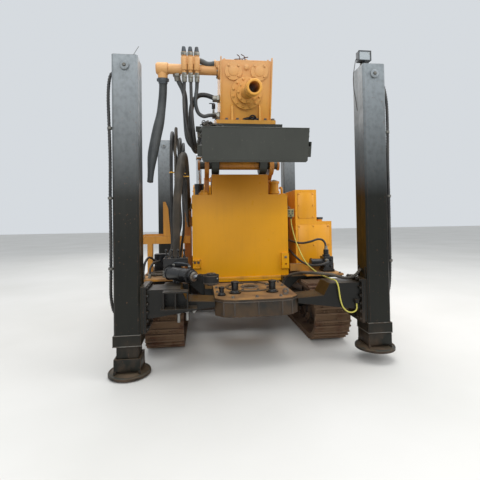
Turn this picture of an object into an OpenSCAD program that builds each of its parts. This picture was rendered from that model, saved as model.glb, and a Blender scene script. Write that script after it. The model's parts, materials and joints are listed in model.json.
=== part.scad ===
// Crawler rotary drilling rig, mast lowered over the engine hood.
// Millimetres, +Z up, the drilling end faces -Y, the engine end faces +Y.
// The tables below give Y from the rear faces of the rear legs. The module rig()
// moves everything so that the origin lies on the ground in the middle of the rig.

/* [Legs] */
// Outside width of a leg's square sleeve
leg_w = 200; // [180:1:220]
// Wall of the sleeve
leg_wall = 12; // [8:1:16]
// Distance of a leg's middle from the centre line
leg_x = 1030; // [1020:1:1100]
// Middle of the rear legs
rear_leg_y = 100; // [95:1:115]
// Middle of the front legs
front_leg_y = 2950; // [2940:1:3000]
// Height of the top of the legs
leg_top = 2530; // [2300:10:2600]
// Height of the lower end of the sleeves
sleeve_z = 250; // [240:1:270]
// Height of the band round the lower end of a sleeve
collar_h = 84; // [60:1:100]
// Gap between a sleeve and the leg that slides in it
leg_gap = 5; // [3:1:8]
// Length of the sliding leg
inner_leg_l = 1500; // [1300:10:1700]
// Radius of a foot pad
pad_r = 165; // [140:1:175]
// Thickness of a foot pad
pad_t = 35; // [25:1:40]
// Height of the fork above a foot pad
fork_h = 105; // [90:1:110]

/* [Tracks] */
// Inner edge of the shoes
shoe_x = 620; // [600:1:640]
// Width of the shoes
shoe_w = 350; // [300:10:400]
// Middle of the idler wheel
idler_y = 700; // [680:5:720]
// Middle of the drive wheel
drive_y = 2440; // [2400:5:2460]
// Height of the whole track
track_h = 560; // [540:1:565]
// Depth of the ribs on the shoes
rib_h = 20; // [12:1:24]
// Thickness of the shoes with their links
link_t = 36; // [30:1:45]
// Number of shoes on one track
shoe_count = 44; // [36:1:50]
// Number of road wheels on one side
roller_count = 6; // [4:1:6]

/* [Frame] */
// Inner face of the long beams
beam_x = 300; // [290:1:310]
// Width of the long beams
beam_w = 120; // [110:1:125]
// Underside of the long beams
beam_z = 400; // [380:1:410]
// Height of the long beams
beam_h = 125; // [120:1:140]
// Height of the leg arms' upper edge
arm_top = 670; // [650:1:672]
// Height of the leg arms' lower edge
arm_low = 440; // [430:1:450]
// Width of a leg arm along the rig
arm_w = 240; // [200:5:250]
// Rise of a rear arm's lower edge towards the table
arm_rise = 75; // [0:5:80]
// Thickness of the bolted plates between arms and legs
flange_t = 22; // [16:1:25]
// Top of the deck plates beside the body
deck_z = 620; // [615:1:625]
// Thickness of the deck plates
deck_t = 20; // [12:1:24]

/* [Table] */
// Half width of the drilling table
table_x = 345; // [330:1:345]
// Front to back length of the drilling table
table_l = 780; // [760:5:780]
// Top of the drilling table
table_z = 580; // [575:1:590]
// Thickness of the table's top plate
table_t = 22; // [16:1:26]
// Depth of the skirt under the table
skirt_h = 140; // [120:1:150]
// Corner cut at the rear of the table
table_cut = 95; // [80:1:110]
// Radius of the round insert in the table
insert_r = 200; // [180:1:215]
// Radius of the drill pipe's hole
hole_r = 60; // [50:1:70]
// Height of the guide posts
post_h = 100; // [80:1:110]

/* [Tank] */
// Rear face of the tank
tank_y = 1150; // [1145:1:1160]
// Front to back depth of the tank
tank_d = 400; // [360:5:405]
// Half width of the tank
tank_x = 550; // [530:1:555]
// Half width of the tank's upper part
tank_neck_x = 325; // [310:1:330]
// Height of the tank's shoulders
shoulder_z = 1510; // [1480:1:1520]
// Height of the tank's top
tank_top = 1740; // [1700:1:1742]
// Reach of the lip round the tank's foot
tank_lip = 25; // [10:1:28]

/* [Mast] */
// Place of the mast's pivot along the rig
pivot_y = 1250; // [1245:1:1255]
// Height of the mast's pivot
pivot_z = 1860; // [1855:1:1880]
// Tilt of the stored mast
mast_tilt = 15; // [12:1:16]
// Distance from the pivot to the mast's foot
foot_a = 1244; // [1230:1:1250]
// Distance from the pivot to the mast's far end
crown_a = 3840; // [3700:10:3900]
// Height of the mast's underside over the pivot
mast_b = 151; // [150:1:160]
// Depth of the mast
mast_h = 264; // [240:1:266]
// Half width of the mast's box
mast_x = 255; // [240:1:258]
// Half width over the guide rails
rail_x = 320; // [310:1:322]
// Plate thickness of the mast
mast_wall = 15; // [10:1:18]
// Half width of the box at the mast's foot
foot_x = 435; // [425:1:440]
// Length of the box at the mast's foot
foot_l = 444; // [400:1:450]
// Radius of the mast's pivot pin
pivot_r = 45; // [35:1:50]

/* [Head] */
// Distance of the gearbox's face from the pivot
face_a = 547; // [540:1:560]
// Length of the gearbox
gear_l = 500; // [480:5:520]
// Half width of the gearbox
gear_x = 250; // [240:1:255]
// Height of the gearbox
gear_h = 550; // [530:1:560]
// Height of the gearbox's foot over the pivot
gear_b = 500; // [495:1:510]
// Height of the spindle's axis over the pivot
spindle_b = 750; // [740:1:760]
// Radius of the spindle
spindle_r = 60; // [55:1:65]
// Radius of the spindle's bore
bore_r = 45; // [40:1:48]
// Length of the spindle in front of the gearbox
spindle_l = 540; // [500:1:550]
// Radius of the air pipe on the head
pipe_r = 47; // [40:1:50]
// Reach of the air pipe from the centre line
pipe_x = 800; // [790:1:805]

/* [Hood] */
// Rear wall of the engine hood
hood_y = 2350; // [2340:5:2360]
// Length of the engine hood
hood_l = 950; // [930:5:960]
// Half width of the engine hood
hood_x = 560; // [545:1:562]
// Height of the engine hood's roof
hood_top = 1750; // [1700:5:1760]
// Wall of the engine hood
hood_t = 20; // [15:1:25]
// Width of a hood door
door_w = 400; // [360:5:410]
// Height of a hood door
door_h = 840; // [700:10:860]

/* [Side boxes] */
// Inner face of the fuel box
box_x = 670; // [668:1:680]
// Outer face of the fuel box
box_out = 1115; // [1060:1:1120]
// Top of the fuel box's lower step
box_step_z = 1190; // [1150:5:1220]
// Top of the fuel box
box_top = 1570; // [1500:5:1600]
// Width of the fuel box's upper step
box_up_w = 262; // [200:1:280]
// Height of the beam over the left deck
stand_z = 1040; // [1000:1:1050]

/* [Hidden] */
$fn = 48;

// Working clearances
seat = 0.3;
run_gap = 0.05;
move_gap = 5;

// Overall places, from the rear edge of the pads to the end of the crown wheels
crown_wheel_r = 120;
crown_wheel_a = crown_a - 60;
crown_wheel_b = mast_b + 142;
crown_pin_r = 25;

// Feed chains: two closed loops from the drive sprockets near the foot to the crown wheels
chain_x = 90;
chain_w = 30;
chain_h = 24;
chain_r = mast_h - crown_wheel_b + mast_b - chain_h / 2 - 5;
chain_root = chain_r - chain_h / 2 - seat;
chain_drive_a = -foot_a + foot_l + 160;
chain_teeth = 14;
crown_y = pivot_y + crown_wheel_a * cos(mast_tilt) - crown_wheel_b * sin(mast_tilt);
rear_end = rear_leg_y - pad_r;
front_end = crown_y + crown_wheel_r;
mid_y = (rear_end + front_end) / 2;

// Legs: side, middle along the rig, middle of the arm, height of the pad over the ground
LEG_SIDE = 0;
LEG_Y = 1;
ARM_Y = 2;
PAD_Z = 3;
rear_left = [-1, rear_leg_y, rear_leg_y + 70, 10];
rear_right = [1, rear_leg_y, rear_leg_y + 70, 100];
front_left = [-1, front_leg_y, front_leg_y, 60];
front_right = [1, front_leg_y, front_leg_y, 60];
inner_leg_w = leg_w - 2 * leg_wall - 2 * leg_gap;
lip_h = 40;
leg_in_x = leg_x - leg_w / 2;
arm_end_x = leg_in_x - 2 * flange_t;

// Tracks
track_mid_x = shoe_x + shoe_w / 2;
wheel_z = track_h / 2;
shoe_r = track_h / 2 - rib_h;
loop_r = shoe_r - link_t;
track_beam_w = 150;
track_beam_x = track_mid_x - track_beam_w / 2;
roller_r = 70;

// Frame
table_y = rear_leg_y - 120;
beam_y = table_y + table_l;
frame_front = hood_y + hood_l + 160;
beam_top = beam_z + beam_h;
beam_out = beam_x + beam_w;
deck_low = deck_z - deck_t;
bracket_t = 25;
deck_in = 670;
deck_out = 1085;
deck_y = 850;
deck_l = front_leg_y - arm_w / 2 - 70 - deck_y;
hole_y = pivot_y - spindle_b;

// Pedestal
post_x = 570;
post_w = 90;
post_y = tank_y + tank_d + 20;
post_l = 120;
ear_x = 350;
ear_t = 50;
ear_r = 115;
mast_ear_x = 235;
mast_ear_t = 85;
mast_ear_r = 105;

// Lift cylinders
lift_x = 470;
lift_y = 2150;
lift_z = 620;
lift_r = 60;
lift_rod_r = 38;
lift_eye_a = 700;
lift_eye_b = 50;
lift_eye_y = pivot_y + lift_eye_a * cos(mast_tilt) - lift_eye_b * sin(mast_tilt);
lift_eye_z = pivot_z + lift_eye_a * sin(mast_tilt) + lift_eye_b * cos(mast_tilt);
lift_len = norm([lift_eye_y - lift_y, lift_eye_z - lift_z]);
lift_lean = atan2(lift_y - lift_eye_y, lift_eye_z - lift_z);
lift_barrel_l = 1120;
lift_neck = 62;
lift_rod_low = 300;

// Moves everything from the rear legs' faces to the middle of the rig
module rig() translate([0, -mid_y, 0]) children();

// Mast coordinates: X across, Y along the mast towards its far end, Z away from the pivot
module on_mast() rig() translate([0, pivot_y, pivot_z]) rotate([mast_tilt, 0, 0]) children();

module block(x, y, z) translate([x[0], y[0], z[0]]) cube([x[1] - x[0], y[1] - y[0], z[1] - z[0]]);

module rod_x(x, y, z, r) translate([x[0], y, z]) rotate([0, 90, 0]) cylinder(r = r, h = x[1] - x[0]);

module rod_y(x, y, z, r) translate([x, y[0], z]) rotate([-90, 0, 0]) cylinder(r = r, h = y[1] - y[0]);

module rod_z(x, y, z, r) translate([x, y, z[0]]) cylinder(r = r, h = z[1] - z[0]);

// A plate that stands along the rig: its outline is given as Y and Z
module plate_yz(x) translate([x[0], 0, 0]) rotate([90, 0, 90]) linear_extrude(x[1] - x[0]) children();

// A plate that stands across the rig: its outline is given as X and Z
module plate_xz(y) translate([0, y[1], 0]) rotate([90, 0, 0]) linear_extrude(y[1] - y[0]) children();

module both_sides() {
    children();
    mirror([1, 0, 0]) children();
}

// Legs

// Square tube whose faces are folded in a little along their middle
module sleeve_outline(w, cut, fold) {
    h = w / 2;
    c = h - cut;
    polygon([[-c, -h], [0, -h + fold], [c, -h], [h, -c], [h - fold, 0], [h, c],
        [c, h], [0, h - fold], [-c, h], [-h, c], [-h + fold, 0], [-h, -c]]);
}

module leg_sleeve(leg) {
    color("#26292b") rig() {
        translate([leg[LEG_SIDE] * leg_x, leg[LEG_Y], 0]) {
            difference() {
                union() {
                    translate([0, 0, sleeve_z]) linear_extrude(leg_top - sleeve_z) sleeve_outline(leg_w, 14, 3);
                    translate([0, 0, sleeve_z]) linear_extrude(collar_h) square(leg_w + 12, center = true);
                    rod_y(0, [-leg_w / 2 - 10, -leg_w / 2 + leg_wall], leg_top - 90, 28);
                }
                translate([0, 0, sleeve_z + lip_h])
                    linear_extrude(leg_top - sleeve_z - leg_wall - lip_h) square(leg_w - 2 * leg_wall, center = true);
                translate([0, 0, sleeve_z - 1])
                    linear_extrude(lip_h + 2) square(inner_leg_w + 2 * seat, center = true);
            }
        }
        flange_y = leg[ARM_Y];
        flange_x = leg[LEG_SIDE] > 0 ? [leg_in_x - flange_t, leg_in_x + 4] : [-leg_in_x - 4, -leg_in_x + flange_t];
        difference() {
            block(flange_x, [flange_y - 150, flange_y + 130], [sleeve_z + collar_h + 1, arm_top + 30]);
            translate([leg[LEG_SIDE] * leg_x, leg[LEG_Y], 0])
                linear_extrude(leg_top) square(leg_w - leg_wall, center = true);
        }
    }
}

// Sliding leg with its fork and round pad
module leg_foot(leg) {
    color("#1f2224") rig() translate([leg[LEG_SIDE] * leg_x, leg[LEG_Y], leg[PAD_Z]]) {
        cylinder(r = pad_r, h = pad_t * 0.5);
        translate([0, 0, pad_t * 0.5]) cylinder(r1 = pad_r, r2 = pad_r * 0.72, h = pad_t * 0.5, $fn = 48);
        block([-leg_w * 0.46, leg_w * 0.46], [-leg_w * 0.36, leg_w * 0.36], [pad_t, pad_t + fork_h]);
        rod_y(0, [-leg_w * 0.36 - 12, leg_w * 0.36 + 12], pad_t + fork_h * 0.5, 30);
        block([-inner_leg_w / 2, inner_leg_w / 2], [-inner_leg_w / 2, inner_leg_w / 2],
            [pad_t + fork_h, pad_t + fork_h + inner_leg_l]);
        wear = leg_w / 2 - leg_wall - seat;
        block([-wear, wear], [-wear, wear], [pad_t + fork_h + inner_leg_l - 90, pad_t + fork_h + inner_leg_l - 30]);
    }
}

module leg_rear_left() leg_sleeve(rear_left);
module leg_rear_right() leg_sleeve(rear_right);
module leg_front_left() leg_sleeve(front_left);
module leg_front_right() leg_sleeve(front_right);
module foot_rear_left() leg_foot(rear_left);
module foot_rear_right() leg_foot(rear_right);
module foot_front_left() leg_foot(front_left);
module foot_front_right() leg_foot(front_right);

// Tracks

// Place along the closed track at a share of its length, as [Y, Z, angle]
function on_loop(share, r) =
    let (straight = drive_y - idler_y, arc = PI * r, whole = 2 * straight + 2 * arc, s = share * whole)
    s < straight ? [idler_y + s, wheel_z + r, 0]
    : s < straight + arc ?
        let (a = (s - straight) / r * 180 / PI) [drive_y + r * sin(a), wheel_z + r * cos(a), -a]
    : s < 2 * straight + arc ? [drive_y - (s - straight - arc), wheel_z - r, 180]
    : let (a = (s - 2 * straight - arc) / r * 180 / PI) [idler_y - r * sin(a), wheel_z - r * cos(a), 180 - a];

module loop_outline(r) {
    translate([idler_y, wheel_z]) circle(r = r);
    translate([drive_y, wheel_z]) circle(r = r);
    translate([idler_y, wheel_z - r]) square([drive_y - idler_y, 2 * r]);
}

// Shoes as plates with two ribs, on a ring of links
module track() {
    pitch = (2 * (drive_y - idler_y) + 2 * PI * shoe_r) / shoe_count;
    plate_yz([shoe_x, shoe_x + shoe_w]) {
        difference() {
            loop_outline(shoe_r, $fn = 72);
            loop_outline(loop_r, $fn = 72);
        }
        for (i = [0:shoe_count - 1]) {
            at = on_loop(i / shoe_count, shoe_r);
            translate([at[0], at[1]]) rotate(at[2]) {
                translate([-pitch * 0.4, -6]) square([14, rib_h + 6]);
                translate([pitch * 0.05, -6]) square([14, rib_h + 6]);
            }
        }
    }
}

module track_right() color("#5a3f2c") rig() track();
module track_left() color("#5a3f2c") rig() mirror([1, 0, 0]) track();

// Toothed drive wheel, its teeth reaching the ring of links
module drive_wheel(x) {
    teeth = 18;
    root_r = loop_r - 26;
    plate_yz(x) difference() {
        union() {
            translate([drive_y, wheel_z]) circle(r = root_r);
            for (i = [0:teeth - 1])
                translate([drive_y, wheel_z]) rotate(i * 360 / teeth)
                    polygon([[root_r - 4, -16], [loop_r - 2, -7], [loop_r - 2, 7], [root_r - 4, 16]]);
        }
        for (i = [0:5])
            translate([drive_y, wheel_z]) rotate(i * 60) translate([root_r * 0.66, 0]) circle(r = 26, $fn = 24);
    }
    rod_x([x[0] - 30, x[1] + 34], drive_y, wheel_z, 70);
}

module track_frame() {
    beam = [track_beam_x, track_beam_x + track_beam_w];
    low = link_t + rib_h + roller_r;
    block(beam, [idler_y + 60, drive_y - 235], [low + 26, wheel_z + 70]);
    drive_wheel([track_mid_x - 22, track_mid_x + 22]);
    block([track_beam_x, track_mid_x - 52], [drive_y - 235, drive_y + 60], [wheel_z - 60, wheel_z + 70]);
    rod_x([track_mid_x - 55, track_mid_x + 55], idler_y, wheel_z, loop_r - seat);
    rod_x([track_beam_x - 30, beam[1] + 30], idler_y, wheel_z, 50);
    for (side = [track_beam_x, beam[1] - 18])
        block([side, side + 18], [idler_y, idler_y + 61], [wheel_z - 50, wheel_z + 50]);
    for (i = [0:roller_count - 1]) {
        y = idler_y + 290 + i * (drive_y - idler_y - 560) / (roller_count - 1);
        rod_x([beam[0] + 4, beam[1] - 4], y, low + seat, roller_r);
        for (side = [beam[0] - 18, beam[1]])
            block([side, side + 18], [y - 40, y + 40], [low - 22, low + 60]);
        rod_x([beam[0] - 30, beam[1] + 30], y, low + seat, 20);
    }
    for (y = [idler_y + 620, drive_y - 620]) {
        top = track_h - rib_h - link_t;
        rod_x([beam[0] + 10, beam[1] - 10], y, top - 40 - seat, 40);
        block([track_mid_x - 30, track_mid_x + 30], [y - 25, y + 25], [wheel_z + 69, top - 45]);
    }
}

module track_frame_right() color("#2b2b2b") rig() track_frame();
module track_frame_left() color("#2b2b2b") rig() mirror([1, 0, 0]) track_frame();

// Frame

// Tapered box arm from the table or a long beam to a leg
module leg_arm(leg, root_x, rise) {
    y = leg[ARM_Y];
    high = arm_top;
    plate_xz([y - arm_w / 2, y + arm_w / 2])
        polygon([[root_x, arm_low + rise], [arm_end_x, arm_low], [arm_end_x, high], [arm_end_x - 265, high],
            [arm_end_x - 320, deck_low - 30], [root_x, table_z - table_t]]);
    block([arm_end_x, arm_end_x + flange_t], [y - 150, y + 130], [sleeve_z + collar_h + 1, arm_top + 30]);
}

module chassis_frame() color("#232527") rig() {
    both_sides() {
        block([beam_x, beam_out], [beam_y, frame_front], [beam_z, beam_top]);
        leg_arm(rear_left, table_x, arm_rise);
        leg_arm(front_left, beam_out, 0);
        for (y = [[deck_y + 40, 100], [post_y, post_l], [hood_y + 30, 90], [hood_y + 860, 80]])
            plate_xz([y[0], y[0] + y[1]])
                polygon([[beam_out, beam_z + 30], [beam_out + 20, beam_z + 30], [shoe_x - 20, deck_low - bracket_t],
                    [deck_out, deck_low - bracket_t], [deck_out, deck_low], [beam_out, deck_low]]);
        lift_bracket();
    }
    gland_y = rear_leg_y + 70 - arm_w / 2;
    block([830, 860], [gland_y - 28, gland_y], [500, 530]);
    for (y = [1000, 1850])
        block([-track_beam_x, track_beam_x], [y, y + 150], [beam_z - 150, beam_z]);
    block([-beam_x, beam_x], [lift_y - 70, lift_y + 70], [beam_z, beam_top]);
    block([-beam_x, beam_x], [frame_front - 80, frame_front], [beam_z, beam_top]);
    block([-beam_x, beam_x], [beam_y, beam_y + 60], [beam_z, beam_top]);
}

// Two ears and the pin that carry the foot of a lift cylinder
module lift_bracket() {
    block([beam_out, lift_x + 70], [lift_y - 70, lift_y + 70], [beam_z, beam_top]);
    for (x = [lift_x - 45, lift_x + 35])
        plate_yz([x, x + 10]) {
            translate([lift_y, lift_z]) circle(r = 45);
            translate([lift_y - 45, beam_top]) square([90, lift_z - beam_top]);
        }
    rod_x([lift_x - 52, lift_x + 52], lift_y, lift_z, 25);
}

// Deck plates over the tracks, and the open stand for the valves on the left
module deck() color("#d9951c") rig() {
    for (side = [[deck_in, deck_out], [-deck_out, -deck_in]])
        block(side, [deck_y, deck_y + deck_l], [deck_low, deck_z]);
    stand_y = pivot_y + 160;
    stand_end = -deck_out - 65;
    for (x = [-deck_out, -deck_in - 60])
        block([x, x + 60], [stand_y, stand_y + 70], [deck_z, stand_z - 90]);
    difference() {
        block([stand_end, -deck_in + 90], [stand_y, stand_y + 70], [stand_z - 90, stand_z]);
        block([stand_end - 1, -deck_in + 91], [stand_y + 8, stand_y + 71], [stand_z - 80, stand_z - 10]);
    }
    stand_tray(stand_end, stand_y);
    block([tank_x + 15, deck_out], [tank_y - 20, tank_y + 50], [deck_z, deck_z + 80]);
    rod_z(-716, 905, [deck_z, deck_z + 30], 46);
}

// Folded tray behind the stand's beam, and the upright angle beside it
module stand_tray(x, y) {
    tray_w = 240;
    tray_l = 210;
    difference() {
        block([x, x + tray_w], [y + 70, y + 70 + tray_l], [stand_z - 30, stand_z + 20]);
        block([x + 5, x + tray_w - 5], [y + 75, y + 65 + tray_l], [stand_z - 25, stand_z + 21]);
    }
    angle_x = x + tray_w + 12;
    plate_xz([y + 4, y + 12])
        polygon([[angle_x, stand_z], [angle_x + 85, stand_z], [angle_x + 60, stand_z + 330], [angle_x + 30, stand_z + 410],
            [angle_x, stand_z + 410]]);
    block([angle_x, angle_x + 8], [y + 12, y + 66], [stand_z, stand_z + 410]);
}

// Table

module table_outline(inset) {
    x = table_x - inset;
    y0 = table_y + inset;
    y1 = beam_y - inset;
    cut = table_cut;
    polygon([[-x, y1], [-x, y0 + cut], [-x + cut * 0.7, y0 + cut * 0.25], [-x + cut * 1.6, y0],
        [x - cut * 1.6, y0], [x - cut * 0.7, y0 + cut * 0.25], [x, y0 + cut], [x, y1]]);
}

module table() color("#b9802a") rig() difference() {
    union() {
        translate([0, 0, table_z - table_t]) linear_extrude(table_t) table_outline(0);
        translate([0, 0, table_z - skirt_h]) linear_extrude(skirt_h - table_t) difference() {
            table_outline(0);
            table_outline(18);
        }
        translate([0, hole_y, table_z - 2 * table_t]) cylinder(r = insert_r + 25, h = table_t, $fn = 72);
    }
    translate([0, hole_y, table_z - table_t]) cylinder(r = insert_r + 2, h = table_t + 1, $fn = 72);
    translate([0, hole_y, table_z - 2 * table_t - 1]) cylinder(r = insert_r - 30, h = table_t + 2, $fn = 72);
}

module table_insert() color("#8a6a3c") rig() translate([0, hole_y, table_z - table_t]) difference() {
    cylinder(r = insert_r, h = table_t, $fn = 72);
    translate([0, 0, -1]) cylinder(r = hole_r, h = table_t + 2);
}

// Guide posts with round feet: X, Y, radius, height
module table_posts() color("#1d1d1d") rig()
    for (post = [[-165, 240, 30, post_h], [165, 240, 30, post_h], [-285, 170, 20, post_h * 0.7]])
        translate([post[0], post[1], table_z]) {
            cylinder(r = post[2] * 1.8, h = 12);
            cylinder(r = post[2], h = post[3]);
        }

// Tank

module tank() color("#e79a13") rig() {
    lip_t = 20;
    far = tank_y + tank_d;
    block([-tank_x - 10, tank_x + 10], [tank_y - tank_lip, far + 10], [beam_top, beam_top + lip_t]);
    plate_xz([tank_y, far])
        polygon([[-tank_x, beam_top + lip_t], [tank_x, beam_top + lip_t], [tank_x, shoulder_z - 12],
            [tank_x - 12, shoulder_z], [tank_neck_x, shoulder_z], [tank_neck_x, tank_top],
            [-tank_neck_x, tank_top], [-tank_neck_x, shoulder_z], [-tank_x + 12, shoulder_z],
            [-tank_x, shoulder_z - 12]]);
    difference() {
        block([-tank_x + 2, -tank_x + 92], [tank_y - 20, tank_y], [680, 780]);
        for (x = [25, 65])
            rod_y(-tank_x + x, [tank_y - 21, tank_y + 1], 748, 11);
    }
    difference() {
        block([tank_x - 88, tank_x - 2], [tank_y - 36, tank_y], [655, 830]);
        for (z = [705, 785])
            rod_y(tank_x - 40, [tank_y - 37, tank_y + 1], z, 11);
    }
}

// Filter housing on the right shoulder and filler lid on the left one
module tank_filter() color("#dd9216") rig() {
    x = tank_x - 140;
    y = tank_y + 66;
    translate([x, y, shoulder_z]) {
        cylinder(r = 52, h = 130);
        translate([0, 0, 12]) cylinder(r = 62, h = 24);
        translate([0, 0, 130]) cylinder(r = 62, h = 22);
    }
    translate([-x, y, shoulder_z]) {
        cylinder(r = 62, h = 26);
        translate([0, 0, 26]) cylinder(r = 48, h = 14);
    }
}

// Pedestal

module pedestal_ear() plate_yz([ear_x, ear_x + ear_t]) difference() {
    union() {
        polygon([[post_y + 30, beam_top], [post_y + 270, beam_top], [post_y + 240, 1420],
            [post_y + 80, 1740], [pivot_y + 70, pivot_z + 90], [pivot_y - 20, pivot_z - 90],
            [pivot_y + 75, pivot_z - 160], [pivot_y + 80, shoulder_z + 30], [post_y + 30, shoulder_z + 12]]);
        translate([pivot_y, pivot_z]) circle(r = ear_r);
    }
    translate([pivot_y, pivot_z]) circle(r = pivot_r + run_gap);
    translate([post_y + 130, 1280]) circle(r = 60);
}

module pedestal() color("#c98318") rig() {
    both_sides() {
        pedestal_ear();
        block([post_x, post_x + post_w], [post_y, post_y + post_l], [deck_low, shoulder_z]);
        block([ear_x + ear_t, post_x], [post_y, post_y + post_l], [1150, 1270]);
    }
    block([-ear_x, ear_x], [post_y + 30, post_y + post_l], [1150, 1270]);
}

// Lift cylinders

module at_lift() rig() translate([0, lift_y, lift_z]) rotate([lift_lean, 0, 0]) children();

module lift_barrels() color("#1b1c1e") at_lift() for (x = [-lift_x, lift_x]) difference() {
    union() {
        rod_x([x - 34, x + 34], 0, 0, 48);
        translate([x, 0, lift_neck / 2]) cube([62, 70, lift_neck], center = true);
        translate([x, 0, lift_neck]) cylinder(r = lift_r, h = lift_barrel_l - lift_neck);
        translate([x, 0, lift_barrel_l - 70]) cylinder(r = lift_r + 6, h = 70);
    }
    rod_x([x - 35, x + 35], 0, 0, 25 + run_gap);
    translate([x, 0, 120]) cylinder(r = lift_rod_r + run_gap, h = lift_barrel_l);
}

// Rods with their eyes; each eye holds a pin whose end stops short of the mast's lug
module lift_rods() color("#b9bcc0") at_lift() both_sides() {
    translate([lift_x, 0, lift_rod_low]) cylinder(r = lift_rod_r, h = lift_len - lift_rod_low - 30);
    rod_x([lift_x - 36, lift_x + 36], 0, lift_len, 52);
    rod_x([lift_lug_x + lift_lug_t + move_gap, lift_x - 35], 0, lift_len, 25);
}

// Mast

lift_lug_x = 324;
lift_lug_t = 34;

module mast_girder() color("#222426") on_mast() {
    near = -foot_a + foot_l;
    far = crown_a;
    low = mast_b;
    high = mast_b + mast_h;
    difference() {
        block([-mast_x, mast_x], [near, far], [low, low + mast_wall]);
        for (a = [600:420:far - 500])
            translate([0, a, low - 1]) rotate([0, 0, 90]) linear_extrude(mast_wall + 2) {
                translate([-90, 0]) circle(r = 80);
                translate([90, 0]) circle(r = 80);
                square([180, 160], center = true);
            }
    }
    both_sides() {
        difference() {
            block([mast_x - mast_wall, mast_x], [near, far], [low + mast_wall, high - 30]);
            rod_x([mast_x - mast_wall - 1, mast_x + 1], crown_wheel_a, crown_wheel_b, crown_pin_r + run_gap);
        }
        block([mast_x - 2 * mast_wall, rail_x], [near, far - 160], [high - 30, high]);
        for (a = [near + 250:420:far - 400])
            block([mast_x, rail_x - 12], [a, a + 12], [low + 50, high - 75]);
        mast_ear();
        lift_lug();
    }
    block([-mast_x + mast_wall, mast_x - mast_wall], [near, near + 14], [low + mast_wall, high - 60]);
    rod_x([-post_x + 90, post_x - 90], 0, 0, pivot_r);
}

// Ear under the mast round the pivot pin
module mast_ear() plate_yz([mast_ear_x, mast_ear_x + mast_ear_t]) {
    circle(r = mast_ear_r);
    polygon([[-mast_ear_r + 5, mast_b], [-mast_ear_r + 1, 0], [60, -mast_ear_r + 25], [mast_ear_r - 12, -45],
        [300, mast_b - 30], [300, mast_b]]);
}

// Lug that stands beside the eye of a lift rod
module lift_lug() {
    plate_yz([lift_lug_x, lift_lug_x + lift_lug_t])
        polygon([[lift_eye_a - 150, mast_b + 60], [lift_eye_a - 60, lift_eye_b - 50], [lift_eye_a + 60, lift_eye_b - 50],
            [lift_eye_a + 150, mast_b + 60]]);
    block([mast_x, lift_lug_x], [lift_eye_a - 150, lift_eye_a + 150], [mast_b + 20, mast_b + 60]);
}

module mast_foot() color("#202224") on_mast() {
    near = -foot_a;
    far = -foot_a + foot_l;
    low = mast_b;
    high = mast_b + 276;
    wall = 12;
    difference() {
        plate_xz([near, far])
            polygon([[-foot_x, low + 14], [-foot_x + 14, low], [foot_x - 14, low], [foot_x, low + 14],
                [foot_x, high], [-foot_x, high]]);
        block([-foot_x + wall, foot_x - wall], [near + wall, far + 1], [low + wall, high - wall]);
    }
    both_sides() {
        block([foot_x, foot_x + 38], [near + 40, far - 60], [low + 40, low + 125]);
        block([foot_x + 30, foot_x + 38], [near + 40, far - 60], [low + 125, low + 165]);
    }
}

// Closed loop of a feed chain, its outline given as Y and Z in the mast's coordinates
module chain_loop(r) {
    translate([chain_drive_a, crown_wheel_b]) circle(r = r, $fn = 72);
    translate([crown_wheel_a, crown_wheel_b]) circle(r = r, $fn = 72);
    translate([chain_drive_a, crown_wheel_b - r]) square([crown_wheel_a - chain_drive_a, 2 * r]);
}

// The feed chains with their drive sprockets on a shaft between the mast's walls
module feed_chain() color("#4c4640") on_mast() {
    inner = mast_x - mast_wall;
    hub = chain_w / 2 + 9;
    for (x = [-chain_x, chain_x]) {
        plate_yz([x - chain_w / 2, x + chain_w / 2]) difference() {
            chain_loop(chain_r + chain_h / 2);
            chain_loop(chain_r - chain_h / 2);
        }
        plate_yz([x - chain_w / 4, x + chain_w / 4]) difference() {
            union() {
                translate([chain_drive_a, crown_wheel_b]) circle(r = chain_root - 16);
                for (i = [0:chain_teeth - 1])
                    translate([chain_drive_a, crown_wheel_b]) rotate(i * 360 / chain_teeth)
                        polygon([[chain_root - 20, -13], [chain_root - 1, -5], [chain_root - 1, 5], [chain_root - 20, 13]]);
            }
            for (i = [0:4])
                translate([chain_drive_a, crown_wheel_b]) rotate(i * 72) translate([53, 0]) circle(r = 12, $fn = 24);
        }
        rod_x([x - hub, x + hub], chain_drive_a, crown_wheel_b, 38);
    }
    rod_x([-inner, inner], chain_drive_a, crown_wheel_b, crown_pin_r);
    for (x = [-inner, inner - 12])
        rod_x([x, x + 12], chain_drive_a, crown_wheel_b, 48);
}

// Two flanged chain wheels on one shaft at the far end
module crown_wheels() color("#55504a") on_mast() {
    for (x = [-chain_x, chain_x]) {
        rod_x([x - chain_w / 2 - 2, x + chain_w / 2 + 2], crown_wheel_a, crown_wheel_b, chain_root);
        for (side = [x - chain_w / 2 - 9, x + chain_w / 2 + 1])
            rod_x([side, side + 8], crown_wheel_a, crown_wheel_b, chain_r + 5);
        rod_x([x - chain_w / 2 - 16, x + chain_w / 2 + 16], crown_wheel_a, crown_wheel_b, 48);
    }
    rod_x([-mast_x - 20, mast_x + 20], crown_wheel_a, crown_wheel_b, crown_pin_r);
}

// Frame on the beams that the lowered mast comes down on
module mast_rest() color("#c98318") rig() {
    y = frame_front - 70;
    top = pivot_z + mast_b - 11;
    both_sides() block([beam_x + 10, beam_x + 90], [y, y + 60], [beam_top, top - 80]);
    block([-beam_x - 90, beam_x + 90], [y, y + 60], [top - 80, top - 14]);
    block([-beam_x + 20, beam_x - 20], [y, y + 60], [top - 14, top]);
    block([-beam_x - 10, beam_x + 10], [y + 10, y + 50], [1150, 1220]);
}

// Head

carriage_near = -face_a - 70;
carriage_far = carriage_near + 680;
rail_top = mast_b + mast_h;
plate_b = rail_top + move_gap;

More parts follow.
